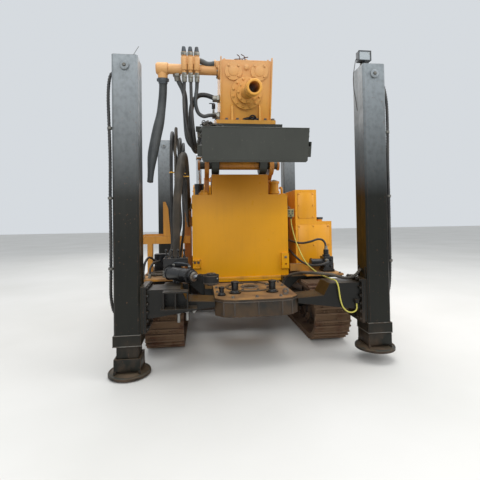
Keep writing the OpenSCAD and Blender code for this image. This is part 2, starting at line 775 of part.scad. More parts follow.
module carriage() color("#1c1d1f") on_mast() {
    block([-rail_x - 170, -rail_x - move_gap - 32], [-460, -400], [rail_top - 35, rail_top + 20]);
    block([-rail_x, rail_x], [carriage_near, carriage_far], [plate_b, gear_b - 36]);
    both_sides() {
        block([rail_x, rail_x + move_gap + 32], [carriage_near, carriage_far], [rail_top - 60, gear_b - 36]);
        block([mast_x + move_gap, rail_x], [carriage_near, carriage_far], [rail_top - 60, rail_top - 30 - move_gap]);
    }
}

module gearbox() color("#eda21c") on_mast() {
    front = -face_a;
    back = front + gear_l;
    top = gear_b + gear_h;
    foot = gear_b - 36;
    difference() {
        union() {
            block([-gear_x + 12, gear_x - 12], [front, back], [gear_b, top - 10]);
            both_sides() block([gear_x - 12, gear_x], [front - 22, back + 10], [gear_b, top]);
            block([-gear_x - 40, gear_x + 40], [front - 60, back + 20], [foot, gear_b]);
            rod_y(0, [front - 32, front], spindle_b, 150);
            for (x = [-125, 125])
                rod_y(x, [front - 16, front], spindle_b + 200, 84);
        }
        rod_y(0, [front - 40, back + 30], spindle_b, spindle_r + run_gap);
    }
    both_sides() translate([gear_x * 0.5, 0, 0])
        plate_yz([0, 22]) polygon([[front - 55, gear_b], [front, gear_b], [front, gear_b + 150], [front - 22, gear_b + 130]]);
}

module motors() color("#3a3b3d") on_mast() {
    back = -face_a + gear_l;
    for (x = [-125, 125]) {
        rod_y(x, [back, back + 30], spindle_b + 180, 90);
        rod_y(x, [back + 30, back + 230], spindle_b + 180, 72);
        block([x - 45, x + 45], [back + 110, back + 200], [spindle_b + 180 + 60, spindle_b + 180 + 100]);
    }
}

// Hollow spindle with a ring half way
module spindle() color("#dc9a2a") on_mast() difference() {
    front = -face_a - spindle_l;
    union() {
        rod_y(0, [front, -face_a + gear_l + 60], spindle_b, spindle_r);
        rod_y(0, [-face_a - 34 - 60, -face_a - 34], spindle_b, 100);
        rod_y(0, [front + 90, front + 125], spindle_b, spindle_r + 9);
    }
    rod_y(0, [front - 1, -face_a + gear_l + 61], spindle_b, bore_r);
}

// Air pipe with its tee and the block that feeds the hoses
port_x = [-590, -530, -470];

module air_pipe() color("#eda21c") on_mast() {
    a = pipe_a;
    b = pipe_b;
    rod_x([-pipe_x, -gear_x - 20], a, b, pipe_r);
    rod_x([-gear_x - 20, -gear_x], a, b, 82);
    rod_x([-pipe_x - 50, -pipe_x + 50], a, b, pipe_r + 10);
    rod_z(-pipe_x, a, [b - 110, b], pipe_r);
    block([port_x[0] - 22, port_x[2] + 22], [port_a - 15, a + 20], [b + pipe_r - 12, b + pipe_r + 60]);
    for (x = port_x) {
        rod_z(x, port_a, [b - 65, b + pipe_r + 60], 20);
        rod_z(x, port_a, [b + pipe_r + 60, b + pipe_r + 95], 25);
        rod_z(x, port_a, [b + pipe_r + 95, b + pipe_r + 125], 16);
    }
}

// Hood

module door_hole(side) {
    x = side > 0 ? [hood_x - hood_t - 1, hood_x + 1] : [-hood_x - 1, -hood_x + hood_t + 1];
    block(x, [hood_y + 70, hood_y + 70 + door_w], [deck_z + 80, deck_z + 80 + door_h]);
}

module hood() color("#e79a13") rig() {
    far = hood_y + hood_l;
    difference() {
        plate_yz([-hood_x, hood_x])
            polygon([[hood_y, deck_low], [far, deck_low], [far, hood_top - 60], [far - 60, hood_top],
                [hood_y + 30, hood_top], [hood_y, hood_top - 30]]);
        block([-hood_x + hood_t, hood_x - hood_t], [hood_y + hood_t, far - hood_t], [deck_low - 1, hood_top - hood_t - 42]);
        door_hole(1);
        door_hole(-1);
        for (z = [deck_z + 130:75:hood_top - 180])
            block([-hood_x + 120, hood_x - 120], [far - hood_t - 1, far + 1], [z, z + 45]);
        for (z = [deck_z + 160:80:deck_z + 80 + door_h - 100])
            block([-hood_x - 1, hood_x + 1], [hood_y + 570, far - 90], [z, z + 26]);
    }
    both_sides() hood_hinge();
}

// Door hung on two knuckles at its rear edge
module hood_door() {
    y = hood_y + 70;
    z = deck_z + 80;
    difference() {
        union() {
            block([hood_x - hood_t, hood_x], [y + 7, y + door_w - 2 * move_gap], [z + move_gap, z + door_h - move_gap]);
            for (k = hinge_z)
                hull() {
                    rod_z(hinge_x, y, [k, k + knuckle_h], knuckle_r);
                    block([hood_x - 6, hood_x], [y + 8, y + 22], [k, k + knuckle_h]);
                }
            block([hood_x, hood_x + 14], [y + door_w - 70, y + door_w - 40], [z + door_h / 2, z + door_h / 2 + 90]);
        }
        for (k = hinge_z)
            rod_z(hinge_x, y, [k - 1, k + knuckle_h + 1], pin_r + run_gap);
    }
}

// Pins of a door's hinge between lugs on the hood
module hood_hinge() {
    y = hood_y + 70;
    for (k = hinge_z) {
        rod_z(hinge_x, y, [k - 12, k + knuckle_h + 12], pin_r);
        for (z = [k - 12, k + knuckle_h + seat])
            {
                rod_z(hinge_x, y, [z, z + 12 - seat], knuckle_r);
                block([hood_x, hinge_x + 4], [y - 30, y], [z, z + 12 - seat]);
            }
    }
}

hinge_x = hood_x + 14;
knuckle_r = 9;
knuckle_h = 60;
pin_r = 5;
hinge_z = [deck_z + 180, deck_z + 80 + door_h - 160];

module hood_door_right() color("#e79a13") rig() hood_door();
module hood_door_left() color("#e79a13") rig() mirror([1, 0, 0]) hood_door();

module engine() color("#4a4c4e") rig()
    block([-beam_x - 50, beam_x + 50], [hood_y + 150, hood_y + 800], [beam_top, 1350]);

module exhaust() color("#3b3330") rig() {
    y = hood_y + 480;
    rod_z(300, y, [hood_top, hood_top + 25], 50);
    rod_z(300, y, [hood_top + 25, hood_top + 180], 34);
}

// Side boxes

module fuel_box() color("#e0930f") rig() {
    y = [pivot_y, hood_y - 100];
    plate_xz(y) polygon([[box_x, deck_z], [box_out, deck_z], [box_out, box_step_z], [box_x + box_up_w, box_step_z],
        [box_x + box_up_w, box_top], [box_x, box_top]]);
}

module valve_bank() color("#1d1e20") rig() {
    y = pivot_y + 160;
    block([-1010, -740], [y + 5, y + 65], [deck_z, deck_z + 60]);
    block([-1000, -750], [y - 40, y + 110], [deck_z + 60, deck_z + 210]);
    for (x = [-985:45:-770])
        rod_y(x, [y - 70, y - 40], deck_z + 135, 14);
}

// Valve with its motor on the right deck
module side_valve() color("#1d1e20") rig() {
    x = deck_out - 120;
    y = deck_y + 200;
    block([x - 60, x + 70], [y - 70, y + 70], [deck_z, deck_z + 30]);
    block([x - 50, x + 60], [y - 60, y + 60], [deck_z + 30, deck_z + 170]);
    rod_z(x, y, [deck_z + 170, deck_z + 190], 42);
    rod_z(x, y, [deck_z + 190, deck_z + 245], 30);
    rod_x([x - 170, x - 50], y, deck_z + 100, 44);
    rod_x([x - 185, x - 170], y, deck_z + 100, 52);
    for (z = [60, 130])
        for (side = [-28, 36])
            rod_y(x + side, [y - 84, y - 60], deck_z + z, 15);
}

// Lever valve on a stalk behind the breakout cylinder
module lever_valve() color("#1d1e20") rig() {
    y = break_y + 120;
    low = arm_low + 180;
    top = break_z + 50;
    block([break_x - 50, break_x + 60], [break_y + 60, y + 70], [low, low + 16]);
    block([break_x - 25, break_x + 35], [y + 20, y + 60], [low + 16, top]);
    block([break_x - 130, break_x + 95], [y, y + 90], [top, top + 76]);
    for (i = [0:3]) {
        x = break_x - 105 + i * 55;
        rod_y(x, [y + 90, y + 104], top + 38, 14);
        rod_z(x, y + 45, [top + 76, top + 92], 15);
        rod_z(x, y + 45, [top + 92, top + 140], 7);
        translate([x, y + 45, top + 146]) sphere(r = 14, $fn = 24);
    }
}

// Breakout cylinder

break_x = -670;
break_y = rear_leg_y + 70 + arm_w / 2 + 60;
break_z = 745;
break_r = 58;
eye_l = 440;

// Direction of the cylinder, from across the rig towards the rear
break_turn = -48;

module at_break() rig() translate([break_x, break_y, break_z]) rotate([0, 0, break_turn]) children();

// Box behind the arm that carries the cylinder on an upright pin, and an open box on the arm's rear face
module breakout_bracket() color("#1c1d1f") rig() {
    top = break_z - break_r - 20;
    face = rear_leg_y + 70 - arm_w / 2;
    block([break_x - 105, break_x + 105], [break_y - 60, break_y + 60], [arm_low + 60, top]);
    block([break_x - 130, break_x + 150], [break_y - 60, break_y + 80], [arm_low + 20, arm_low + 36]);
    block([break_x - 80, break_x - 60], [break_y - 60, break_y + 60], [arm_low + 36, arm_low + 60]);
    block([break_x + 60, break_x + 80], [break_y - 60, break_y + 60], [arm_low + 36, arm_low + 60]);
    block([break_x - 96, break_x + 180], [face - 112, face], [522, 536]);
    block([break_x - 82, break_x + 114], [face - 100, face], [654, 666]);
    for (x = [break_x - 82, break_x + 10, break_x + 102])
        block([x, x + 12], [face - 100, face], [536, 654]);
}

module breakout_barrel() color("#161718") difference() {
    union() {
        at_break() rod_x([-110, 190], 0, 0, break_r);
        at_break() rod_x([190, 225], 0, 0, break_r - 8);
        rig() rod_z(break_x, break_y, [break_z - break_r - 20 + seat, break_z], 34);
    }
    at_break() rod_x([-95, 230], 0, 0, 20.05);
}

module breakout_rod() color("#9a9da1") at_break() {
    rod_x([-90, 400], 0, 0, 20);
    rod_x([300, 345], 0, 0, 30);
    difference() {
        union() {
            rod_z(eye_l, 0, [-35, 35], 62);
            rod_z(eye_l, 0, [-42, 42], 38);
            block([335, eye_l], [-42, 42], [-28, 28]);
        }
        rod_z(eye_l, 0, [-43, 43], 20);
    }
}

// Small fittings

module lamp() color("#2b2e31") rig() {
    x = leg_x - 60;
    block([x - 12, x + 12], [rear_leg_y - 40, rear_leg_y + 10], [leg_top, leg_top + 40]);
    block([x - 55, x + 55], [rear_leg_y - 60, rear_leg_y - 10], [leg_top + 40, leg_top + 125]);
}

module pendant_box() color("#8d8350") rig()
    block([tank_x, tank_x + 78], [tank_y + 10, tank_y + 70], [1245, 1330]);

// Cords

// Points of a smooth curve through the route
function curve(p, i, t) =
    let (a = p[max(i - 1, 0)], b = p[i], c = p[i + 1], d = p[min(i + 2, len(p) - 1)])
    0.5 * (2 * b + (c - a) * t + (2 * a - 5 * b + 4 * c - d) * t * t + (3 * b - a - 3 * c + d) * t * t * t);
function smooth(p, n) =
    [for (i = [0:len(p) - 2]) for (k = [0:n - 1]) curve(p, i, k / n), p[len(p) - 1]];
function unit(v) = v / norm(v);

module cord(route, d, n, sides, aside) {
    path = smooth(route, n);
    last = len(path) - 1;
    ring = [for (i = [0:last])
        let (t = unit(path[min(i + 1, last)] - path[max(i - 1, 0)]), u = unit(cross(t, aside)), v = cross(t, u))
        for (k = [0:sides - 1]) path[i] + d / 2 * (cos(k * 360 / sides) * u + sin(k * 360 / sides) * v)];
    walls = [for (i = [0:last - 1]) for (k = [0:sides - 1])
        let (m = (k + 1) % sides) [i * sides + k, (i + 1) * sides + k, (i + 1) * sides + m, i * sides + m]];
    polyhedron(points = ring,
        faces = concat([[for (k = [0:sides - 1]) k]], walls, [[for (k = [sides - 1:-1:0]) last * sides + k]]));
}

// Place of a point given in mast coordinates
function mast_at(x, a, b) = [x, pivot_y + a * cos(mast_tilt) - b * sin(mast_tilt),
    pivot_z + a * sin(mast_tilt) + b * cos(mast_tilt)];

pipe_a = -face_a + 134;
pipe_b = spindle_b + 220;
port_a = pipe_a - pipe_r - 30;

air_hose_d = 72;
air_hose_route = [mast_at(-pipe_x, pipe_a, pipe_b - 110 - seat), mast_at(-pipe_x, pipe_a, pipe_b - 145),
    [-802, 640, 2490], [-808, 620, 2380], [-822, 560, 2200], [-850, 470, 2000], [-875, 375, 1780], [-885, 300, 1560]];
head_hose_d = 30;
head_hose_route = [mast_at(-530, port_a, pipe_b - 65 - seat), mast_at(-530, port_a, pipe_b - 100), [-529, 558, 2500],
    [-526, 540, 2350], [-520, 515, 2200], [-510, 510, 2080], [-497, 555, 1975], [-480, 640, 1940], [-465, 720, 1985],
    mast_at(-455, -430, rail_top - 75), mast_at(-455, -430, rail_top - 35 - seat)];
body_hose_d = 80;
body_hose_route = [[-716, 905, deck_z + 30 + seat], [-716, 905, 730], [-712, 885, 900], [-702, 800, 1150],
    [-685, 700, 1400], [-662, 660, 1600], [-642, 720, 1800], [-630, 860, 1900], [-622, 1040, 1900], [-616, 1190, 1800],
    [-613, 1310, 1620], [-613, 1400, 1480], [-613, 1470, 1415], [-613, 1530, 1400], [-613, post_y - seat, 1400]];
pendant_cable_d = 12;
pendant_cable_route = [[600, 1190, 1245 - seat], [600, 1190, 1228], [600, 1190, 1205], [604, 1170, 1130],
    [620, 1050, 950], [640, 800, 770], [655, 500, 702], [662, 300, 690], [668, 150, 690], [672, 85, 692],
    [676, 50, 686], [680, 30, 664], [686, 25, 630], [700, 28, 540], [725, 34, 470], [765, 36, 432], [805, 36, 424],
    [835, 36, 436], [845, 36, 455], [845, 36, 478], [845, 36, 500 - seat]];

module air_hose() color("#2a2b2c") rig() cord(air_hose_route, air_hose_d, 1, 12, [1, 0, 0]);
module head_hose() color("#2a2b2c") rig() cord(head_hose_route, head_hose_d, 1, 8, [1, 0.1, 0]);
module body_hose() color("#2a2b2c") rig() cord(body_hose_route, body_hose_d, 1, 10, [1, 0, 0]);
module pendant_cable() color("#c8c04a") rig() cord(pendant_cable_route, pendant_cable_d, 1, 8, [1, 1, -1]);

chassis_frame();
deck();
track_left();
track_right();
track_frame_left();
track_frame_right();
leg_rear_left();
leg_rear_right();
leg_front_left();
leg_front_right();
foot_rear_left();
foot_rear_right();
foot_front_left();
foot_front_right();
table();
table_insert();
table_posts();
tank();
tank_filter();
pedestal();
lift_barrels();
lift_rods();
mast_girder();
mast_foot();
feed_chain();
crown_wheels();
mast_rest();
carriage();
gearbox();
motors();
spindle();
air_pipe();
hood();
hood_door_left();
hood_door_right();
engine();
exhaust();
fuel_box();
valve_bank();
side_valve();
lever_valve();
breakout_bracket();
breakout_barrel();
breakout_rod();
lamp();
pendant_box();
air_hose();
head_hose();
body_hose();
pendant_cable();
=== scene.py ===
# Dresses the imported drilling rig: camera and light, hoses, finishes and small parts
import json
import math
import random
import bmesh
import bpy
from mathutils import Matrix, Vector


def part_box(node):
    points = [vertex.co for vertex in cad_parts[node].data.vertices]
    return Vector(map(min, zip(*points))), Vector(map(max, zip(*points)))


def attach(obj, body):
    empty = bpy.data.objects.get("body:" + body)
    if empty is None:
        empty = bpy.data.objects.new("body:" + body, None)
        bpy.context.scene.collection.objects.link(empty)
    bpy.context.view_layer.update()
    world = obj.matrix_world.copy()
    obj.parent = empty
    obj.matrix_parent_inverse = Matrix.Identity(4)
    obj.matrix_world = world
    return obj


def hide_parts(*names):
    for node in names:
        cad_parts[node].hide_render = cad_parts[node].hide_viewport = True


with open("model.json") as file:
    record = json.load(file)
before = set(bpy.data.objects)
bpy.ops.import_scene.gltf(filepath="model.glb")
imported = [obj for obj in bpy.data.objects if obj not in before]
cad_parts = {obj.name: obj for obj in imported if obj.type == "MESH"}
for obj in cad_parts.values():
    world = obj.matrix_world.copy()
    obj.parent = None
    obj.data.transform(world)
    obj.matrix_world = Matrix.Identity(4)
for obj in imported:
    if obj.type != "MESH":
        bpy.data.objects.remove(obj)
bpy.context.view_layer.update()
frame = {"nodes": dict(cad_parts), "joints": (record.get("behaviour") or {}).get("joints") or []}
random.seed(7)

# Two working frames in metres: the rig from its rear legs' faces, and the mast from its pivot
holeFromRear = 0.5
insertLow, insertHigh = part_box("table_insert")
rearY = (insertLow.y + insertHigh.y) / 2 - holeFromRear
joints = {joint["name"]: joint for joint in frame["joints"]}
pivot = Vector(joints["mast_raise"]["pos_m"])
mastWay = Vector(joints["head_feed"]["axis"])
rigFrame = Matrix.Translation((0, rearY, 0))
mastFrame = Matrix.Translation(pivot) @ Matrix.Rotation(math.atan2(mastWay.z, mastWay.y), 4, "X")
print("frame loaded")


def onMast(x, a, b):
    # a point in mast measures, told in rig measures
    return tuple(rigFrame.inverted() @ mastFrame @ Vector((x, a, b)))


# Camera and light

photoView = {"lens": 25.65, "shiftUp": -0.0542, "place": (-0.448, -2.736, 1.205),
             "yaw": 0.1131, "pitch": 0.0209, "roll": -0.0159}


def addCamera(given):
    yaw, pitch, roll = given["yaw"], given["pitch"], given["roll"]
    ahead = Vector((math.sin(yaw) * math.cos(pitch), math.cos(yaw) * math.cos(pitch), math.sin(pitch)))
    level = Vector((math.cos(yaw), -math.sin(yaw), 0))
    upright = level.cross(ahead)
    right = level * math.cos(roll) + upright * math.sin(roll)
    up = upright * math.cos(roll) - level * math.sin(roll)
    data = bpy.data.cameras.new("photoCamera")
    data.sensor_width = 36
    data.lens = given["lens"]
    data.shift_y = given["shiftUp"]
    data.clip_end = 200
    camera = bpy.data.objects.new("photoCamera", data)
    bpy.context.scene.collection.objects.link(camera)
    turn = Matrix((right, up, -ahead)).transposed().to_4x4()
    camera.matrix_world = rigFrame @ Matrix.Translation(given["place"]) @ turn
    bpy.context.scene.camera = camera


def tone(code):
    # a colour as a screen shows it, such as d9952a, told as light
    parts = [int(code[i:i + 2], 16) / 255 for i in (0, 2, 4)]
    return tuple(p / 12.92 if p < 0.04045 else ((p + 0.055) / 1.055) ** 2.4 for p in parts)


studio = {"sky": "e6ebf0", "skyPower": 0.85,
          "lamps": [("topLight", (0.5, 0.8, 7.5), (0, 1.6, 0.5), 7.0, 420),
                    ("frontLight", (-1.5, -7.0, 4.6), (0, 0.6, 1.2), 5.0, 250),
                    ("sideLight", (6.0, -2.0, 4.0), (0.3, 1.2, 1.0), 4.0, 130),
                    ("backLight", (-2.0, 9.5, 6.5), (0, 2.5, 1.5), 5.0, 160)]}


def addLight(given):
    world = bpy.data.worlds.new("studioAir")
    bpy.context.scene.world = world
    world.use_nodes = True
    air = world.node_tree.nodes["Background"]
    air.inputs["Color"].default_value = (*tone(given["sky"]), 1)
    air.inputs["Strength"].default_value = given["skyPower"]
    for name, place, target, size, power in given["lamps"]:
        data = bpy.data.lights.new(name, "AREA")
        data.size = size
        data.energy = power
        lamp = bpy.data.objects.new(name, data)
        bpy.context.scene.collection.objects.link(lamp)
        way = Vector(target) - Vector(place)
        turn = way.to_track_quat("-Z", "Y").to_matrix().to_4x4()
        lamp.matrix_world = rigFrame @ Matrix.Translation(place) @ turn
    settings = bpy.context.scene.view_settings
    settings.view_transform = "Standard"
    settings.look = "None"


addCamera(photoView)
addLight(studio)
print("camera and light set")


# Finishes

class Signal:
    # wraps a socket, so that shader maths reads as plain sums
    def __init__(self, socket):
        self.socket = socket

    def node(self, kind, settings=None, out=0, **values):
        made = self.socket.id_data.nodes.new(kind)
        for name, value in (settings or {}).items():
            if name == "stops":
                for at, share in zip(made.color_ramp.elements, value):
                    at.position = share[0]
                    at.color = (share[1], share[1], share[1], 1)
            else:
                setattr(made, name, value)
        for name, value in values.items():
            key = int(name[2:]) if name.startswith("no") else name.replace("_", " ")
            feed(made.inputs[key], value)
        return Signal(made.outputs[out])

    def sum(self, operation, first, second):
        return self.node("ShaderNodeMath", {"operation": operation}, no0=first, no1=second)

    def __add__(self, other):
        return self.sum("ADD", self, other)

    def __sub__(self, other):
        return self.sum("SUBTRACT", self, other)

    def __rsub__(self, other):
        return self.sum("SUBTRACT", other, self)

    def __mul__(self, other):
        return self.sum("MULTIPLY", self, other)

    __radd__ = __add__
    __rmul__ = __mul__

    def mix(self, first, second):
        # first where this mask is 0, second where it is 1
        return self.node("ShaderNodeMix", {"data_type": "RGBA"}, 2, no0=self, no6=first, no7=second)

    def noise(self, scale, detail=3.0, stretch=(1, 1, 1), shift=0.0):
        place = self.node("ShaderNodeMapping", Vector=self, Scale=stretch, Location=(shift, shift, shift))
        return place.node("ShaderNodeTexNoise", Vector=place, Scale=scale, Detail=detail)

    def ramp(self, low, high):
        # 0 under low, 1 over high, straight between
        return self.node("ShaderNodeMapRange", Value=self, From_Min=low, From_Max=high)

    def part(self, letter):
        return self.node("ShaderNodeSeparateXYZ", None, "XYZ".index(letter), Vector=self)


def feed(socket, value):
    if isinstance(value, Signal):
        socket.id_data.links.new(value.socket, socket)
    elif hasattr(value, "__len__") and len(value) == 3 and len(socket.default_value) == 4:
        socket.default_value = (*value, 1)
    else:
        socket.default_value = value


def startLook(name):
    look = bpy.data.materials.new(name)
    look.use_nodes = True
    nodes = look.node_tree.nodes
    places = nodes.new("ShaderNodeTexCoord")
    place, normal = Signal(places.outputs["Object"]), Signal(places.outputs["Normal"])
    return look, place, normal, nodes["Principled BSDF"]


def edgeMask(place, width):
    # 1 along edges and corners, where a rounded normal leaves the face's own
    soft = place.node("ShaderNodeBevel", {"samples": 4}, Radius=width)
    hard = place.node("ShaderNodeNewGeometry", None, "Normal")
    same = soft.node("ShaderNodeVectorMath", {"operation": "DOT_PRODUCT"}, "Value", no0=soft, no1=hard)
    return 1 - same, soft


def paintLook(name, base, **given):
    use = {"shade": None, "bare": "6b4a33", "dustTone": "8d7a62", "mudTone": "5b4838", "rough": 0.42,
           "edge": 0.005, "wear": 0.5, "dust": 0.25, "mudTop": 0.35, "streak": 0.3, "speck": 0.35,
           "grain": 0.10, "metal": 0.0, "patch": 0.35, "fade": None, "under": None, "mottle": 0.0,
           "gloss": 0.5}
    use.update(given)
    look, place, normal, shader = startLook(name)
    colour = tone(base)
    shade = tone(use["shade"]) if use["shade"] else tuple(0.62 * c for c in colour)
    patches = place.noise(1.7, 4, shift=3.1).ramp(0.38, 0.66)
    mixed = (patches * use["patch"]).mix(colour, shade)
    streaks = place.noise(9, 4, (3, 3, 0.22), 1.3).ramp(0.52, 0.74)
    mixed = (streaks * use["streak"]).mix(mixed, shade)
    if use["fade"]:
        # painted light: the coat is painted paler or darker with height, standing in for sheen, haze and
        # shade: lower end, upper end, tone
        low, high, other = use["fade"]
        mixed = place.part("Z").ramp(low, high).mix(mixed, tone(other))
    if use["mottle"]:
        mixed = (place.noise(30, 7, (1, 1, 0.8), 4.4).ramp(0.44, 0.68) * use["mottle"]).mix(mixed, shade)
    specks = place.noise(58, 2, shift=8.0).ramp(0.70, 0.75)
    mixed = (specks * use["speck"]).mix(mixed, tone(use["bare"]))
    upward = normal.part("Z").ramp(0.35, 0.95)
    settled = upward * place.noise(5, 5, shift=5.5).ramp(0.30, 0.62) * use["dust"]
    mixed = settled.mix(mixed, tone(use["dustTone"]))
    low = (use["mudTop"] - place.part("Z")).ramp(-0.12, 0.30)
    splashes = low * place.noise(7, 6, (1, 1, 0.6), 2.2).ramp(0.40, 0.58)
    mixed = (splashes * 0.85).mix(mixed, tone(use["mudTone"]))
    if use["under"]:
        # a coat of another colour below a height, over all but a little of the dirt
        level, other = use["under"]
        coat = (level - place.part("Z")).ramp(-0.002, 0.002)
        coat = coat * (1 - splashes * 0.35)
        mixed = coat.mix(mixed, patches.mix(tone(other), tuple(1.9 * c for c in tone(other))))
        splashes = splashes * (1 - coat * 0.8)
    edges, soft = edgeMask(place, use["edge"])
    chips = (edges * 3.2 + place.noise(34, 5, shift=6.4)).ramp(0.78, 0.92) * use["wear"]
    mixed = chips.mix(mixed, tone(use["bare"]))
    feed(shader.inputs["Base Color"], mixed)
    dull = (settled + splashes + chips).ramp(0.0, 1.3)
    rough = place.noise(12, 3, shift=4.0).ramp(0.2, 0.8) * 0.14 + (use["rough"] - 0.07)
    feed(shader.inputs["Roughness"], rough + dull * (0.92 - use["rough"]))
    shader.inputs["Specular IOR Level"].default_value = use["gloss"]
    if use["metal"]:
        feed(shader.inputs["Metallic"], chips * use["metal"])
    grains, swells = place.noise(190, 2) * use["grain"], place.noise(4.5, 3, shift=7.0)
    height = grains + swells - chips * 0.25 + splashes * 0.6
    rise = soft.node("ShaderNodeBump", Height=height, Distance=0.0022, Strength=0.55, Normal=soft)
    feed(shader.inputs["Normal"], rise)
    return look


def steelLook(name, base, rust, **given):
    use = {"rough": 0.45, "metal": 0.85, "rusty": 0.5, "mud": 0.0, "mudTone": "6a523c", "grain": 0.5,
           "edge": 0.003, "bright": 0.35, "forged": None}
    use.update(given)
    look, place, _, shader = startLook(name)
    blots = place.noise(11, 6, shift=1.9).ramp(0.62 - 0.4 * use["rusty"], 0.80 - 0.34 * use["rusty"])
    fine = place.noise(70, 4, shift=2.7).ramp(0.35, 0.7)
    rusted = fine.mix(tone(rust), tuple(0.45 * c for c in tone(rust)))
    mixed = blots.mix(tone(base), rusted)
    caked = place.noise(6, 6, shift=9.2).ramp(0.62 - 0.35 * use["mud"], 0.72 - 0.3 * use["mud"])
    mixed = (caked * min(1.0, use["mud"] * 1.4)).mix(mixed, tone(use["mudTone"]))
    edges, soft = edgeMask(place, use["edge"])
    rubbed = (edges * 3.0 + place.noise(25, 3, shift=0.7)).ramp(0.85, 1.05) * use["bright"]
    mixed = rubbed.mix(mixed, tuple(min(1.0, 1.7 * c + 0.05) for c in tone(base)))
    covered = (blots + caked * use["mud"]).ramp(0.0, 1.0)
    if use["forged"]:
        # a black forged end beyond a distance from a pivot, along a level way
        hub, start, other = use["forged"]
        cosine, sine = math.cos(hub["turn"]), math.sin(hub["turn"])
        origin = hub["x"] * cosine + (hub["y"] + rearY) * sine
        black = (place.part("X") * cosine + place.part("Y") * sine - (origin + start)).ramp(-0.001, 0.001)
        mixed = black.mix(mixed, fine.mix(tone(other), tuple(0.5 * c for c in tone(other))))
        covered = (covered + black * 0.6).ramp(0.0, 1.0)
    feed(shader.inputs["Base Color"], mixed)
    feed(shader.inputs["Metallic"], (1 - covered) * use["metal"])
    feed(shader.inputs["Roughness"], covered * (0.9 - use["rough"]) + use["rough"] + fine * 0.06)
    height = fine * use["grain"] * covered + place.noise(16, 4) + caked * use["mud"] * 2.0
    rise = soft.node("ShaderNodeBump", Height=height, Distance=0.003, Strength=0.6, Normal=soft)
    feed(shader.inputs["Normal"], rise)
    return look


def rubberLook(name, base, **given):
    use = {"rough": 0.55, "dust": 0.45, "dustTone": "7d756a", "scuff": "5c5c5c"}
    use.update(given)
    look, place, normal, shader = startLook(name)
    dusty = place.noise(7, 5, shift=2.4).ramp(0.42, 0.68) * use["dust"]
    upward = normal.part("Z").ramp(-0.1, 0.9) * 0.5 + 0.5
    mixed = (dusty * upward).mix(tone(base), tone(use["dustTone"]))
    scuffs = place.noise(45, 4, (1, 1, 0.3), 4.0).ramp(0.60, 0.72) * 0.35
    mixed = scuffs.mix(mixed, tone(use["scuff"]))
    feed(shader.inputs["Base Color"], mixed)
    feed(shader.inputs["Roughness"], dusty * 0.35 + use["rough"] + scuffs * 0.2)
    height = place.noise(120, 3) * 0.35 + place.noise(14, 2)
    rise = place.node("ShaderNodeBump", Height=height, Distance=0.0012, Strength=0.5)
    feed(shader.inputs["Normal"], rise)
    return look


# Place of the breakout cylinder: its pivot, its radius, the way that it points and the reach of its eye
breakSizes = {"x": -0.67, "y": 0.35, "z": 0.745, "r": 0.058, "turn": math.radians(-48), "eye": 0.44}

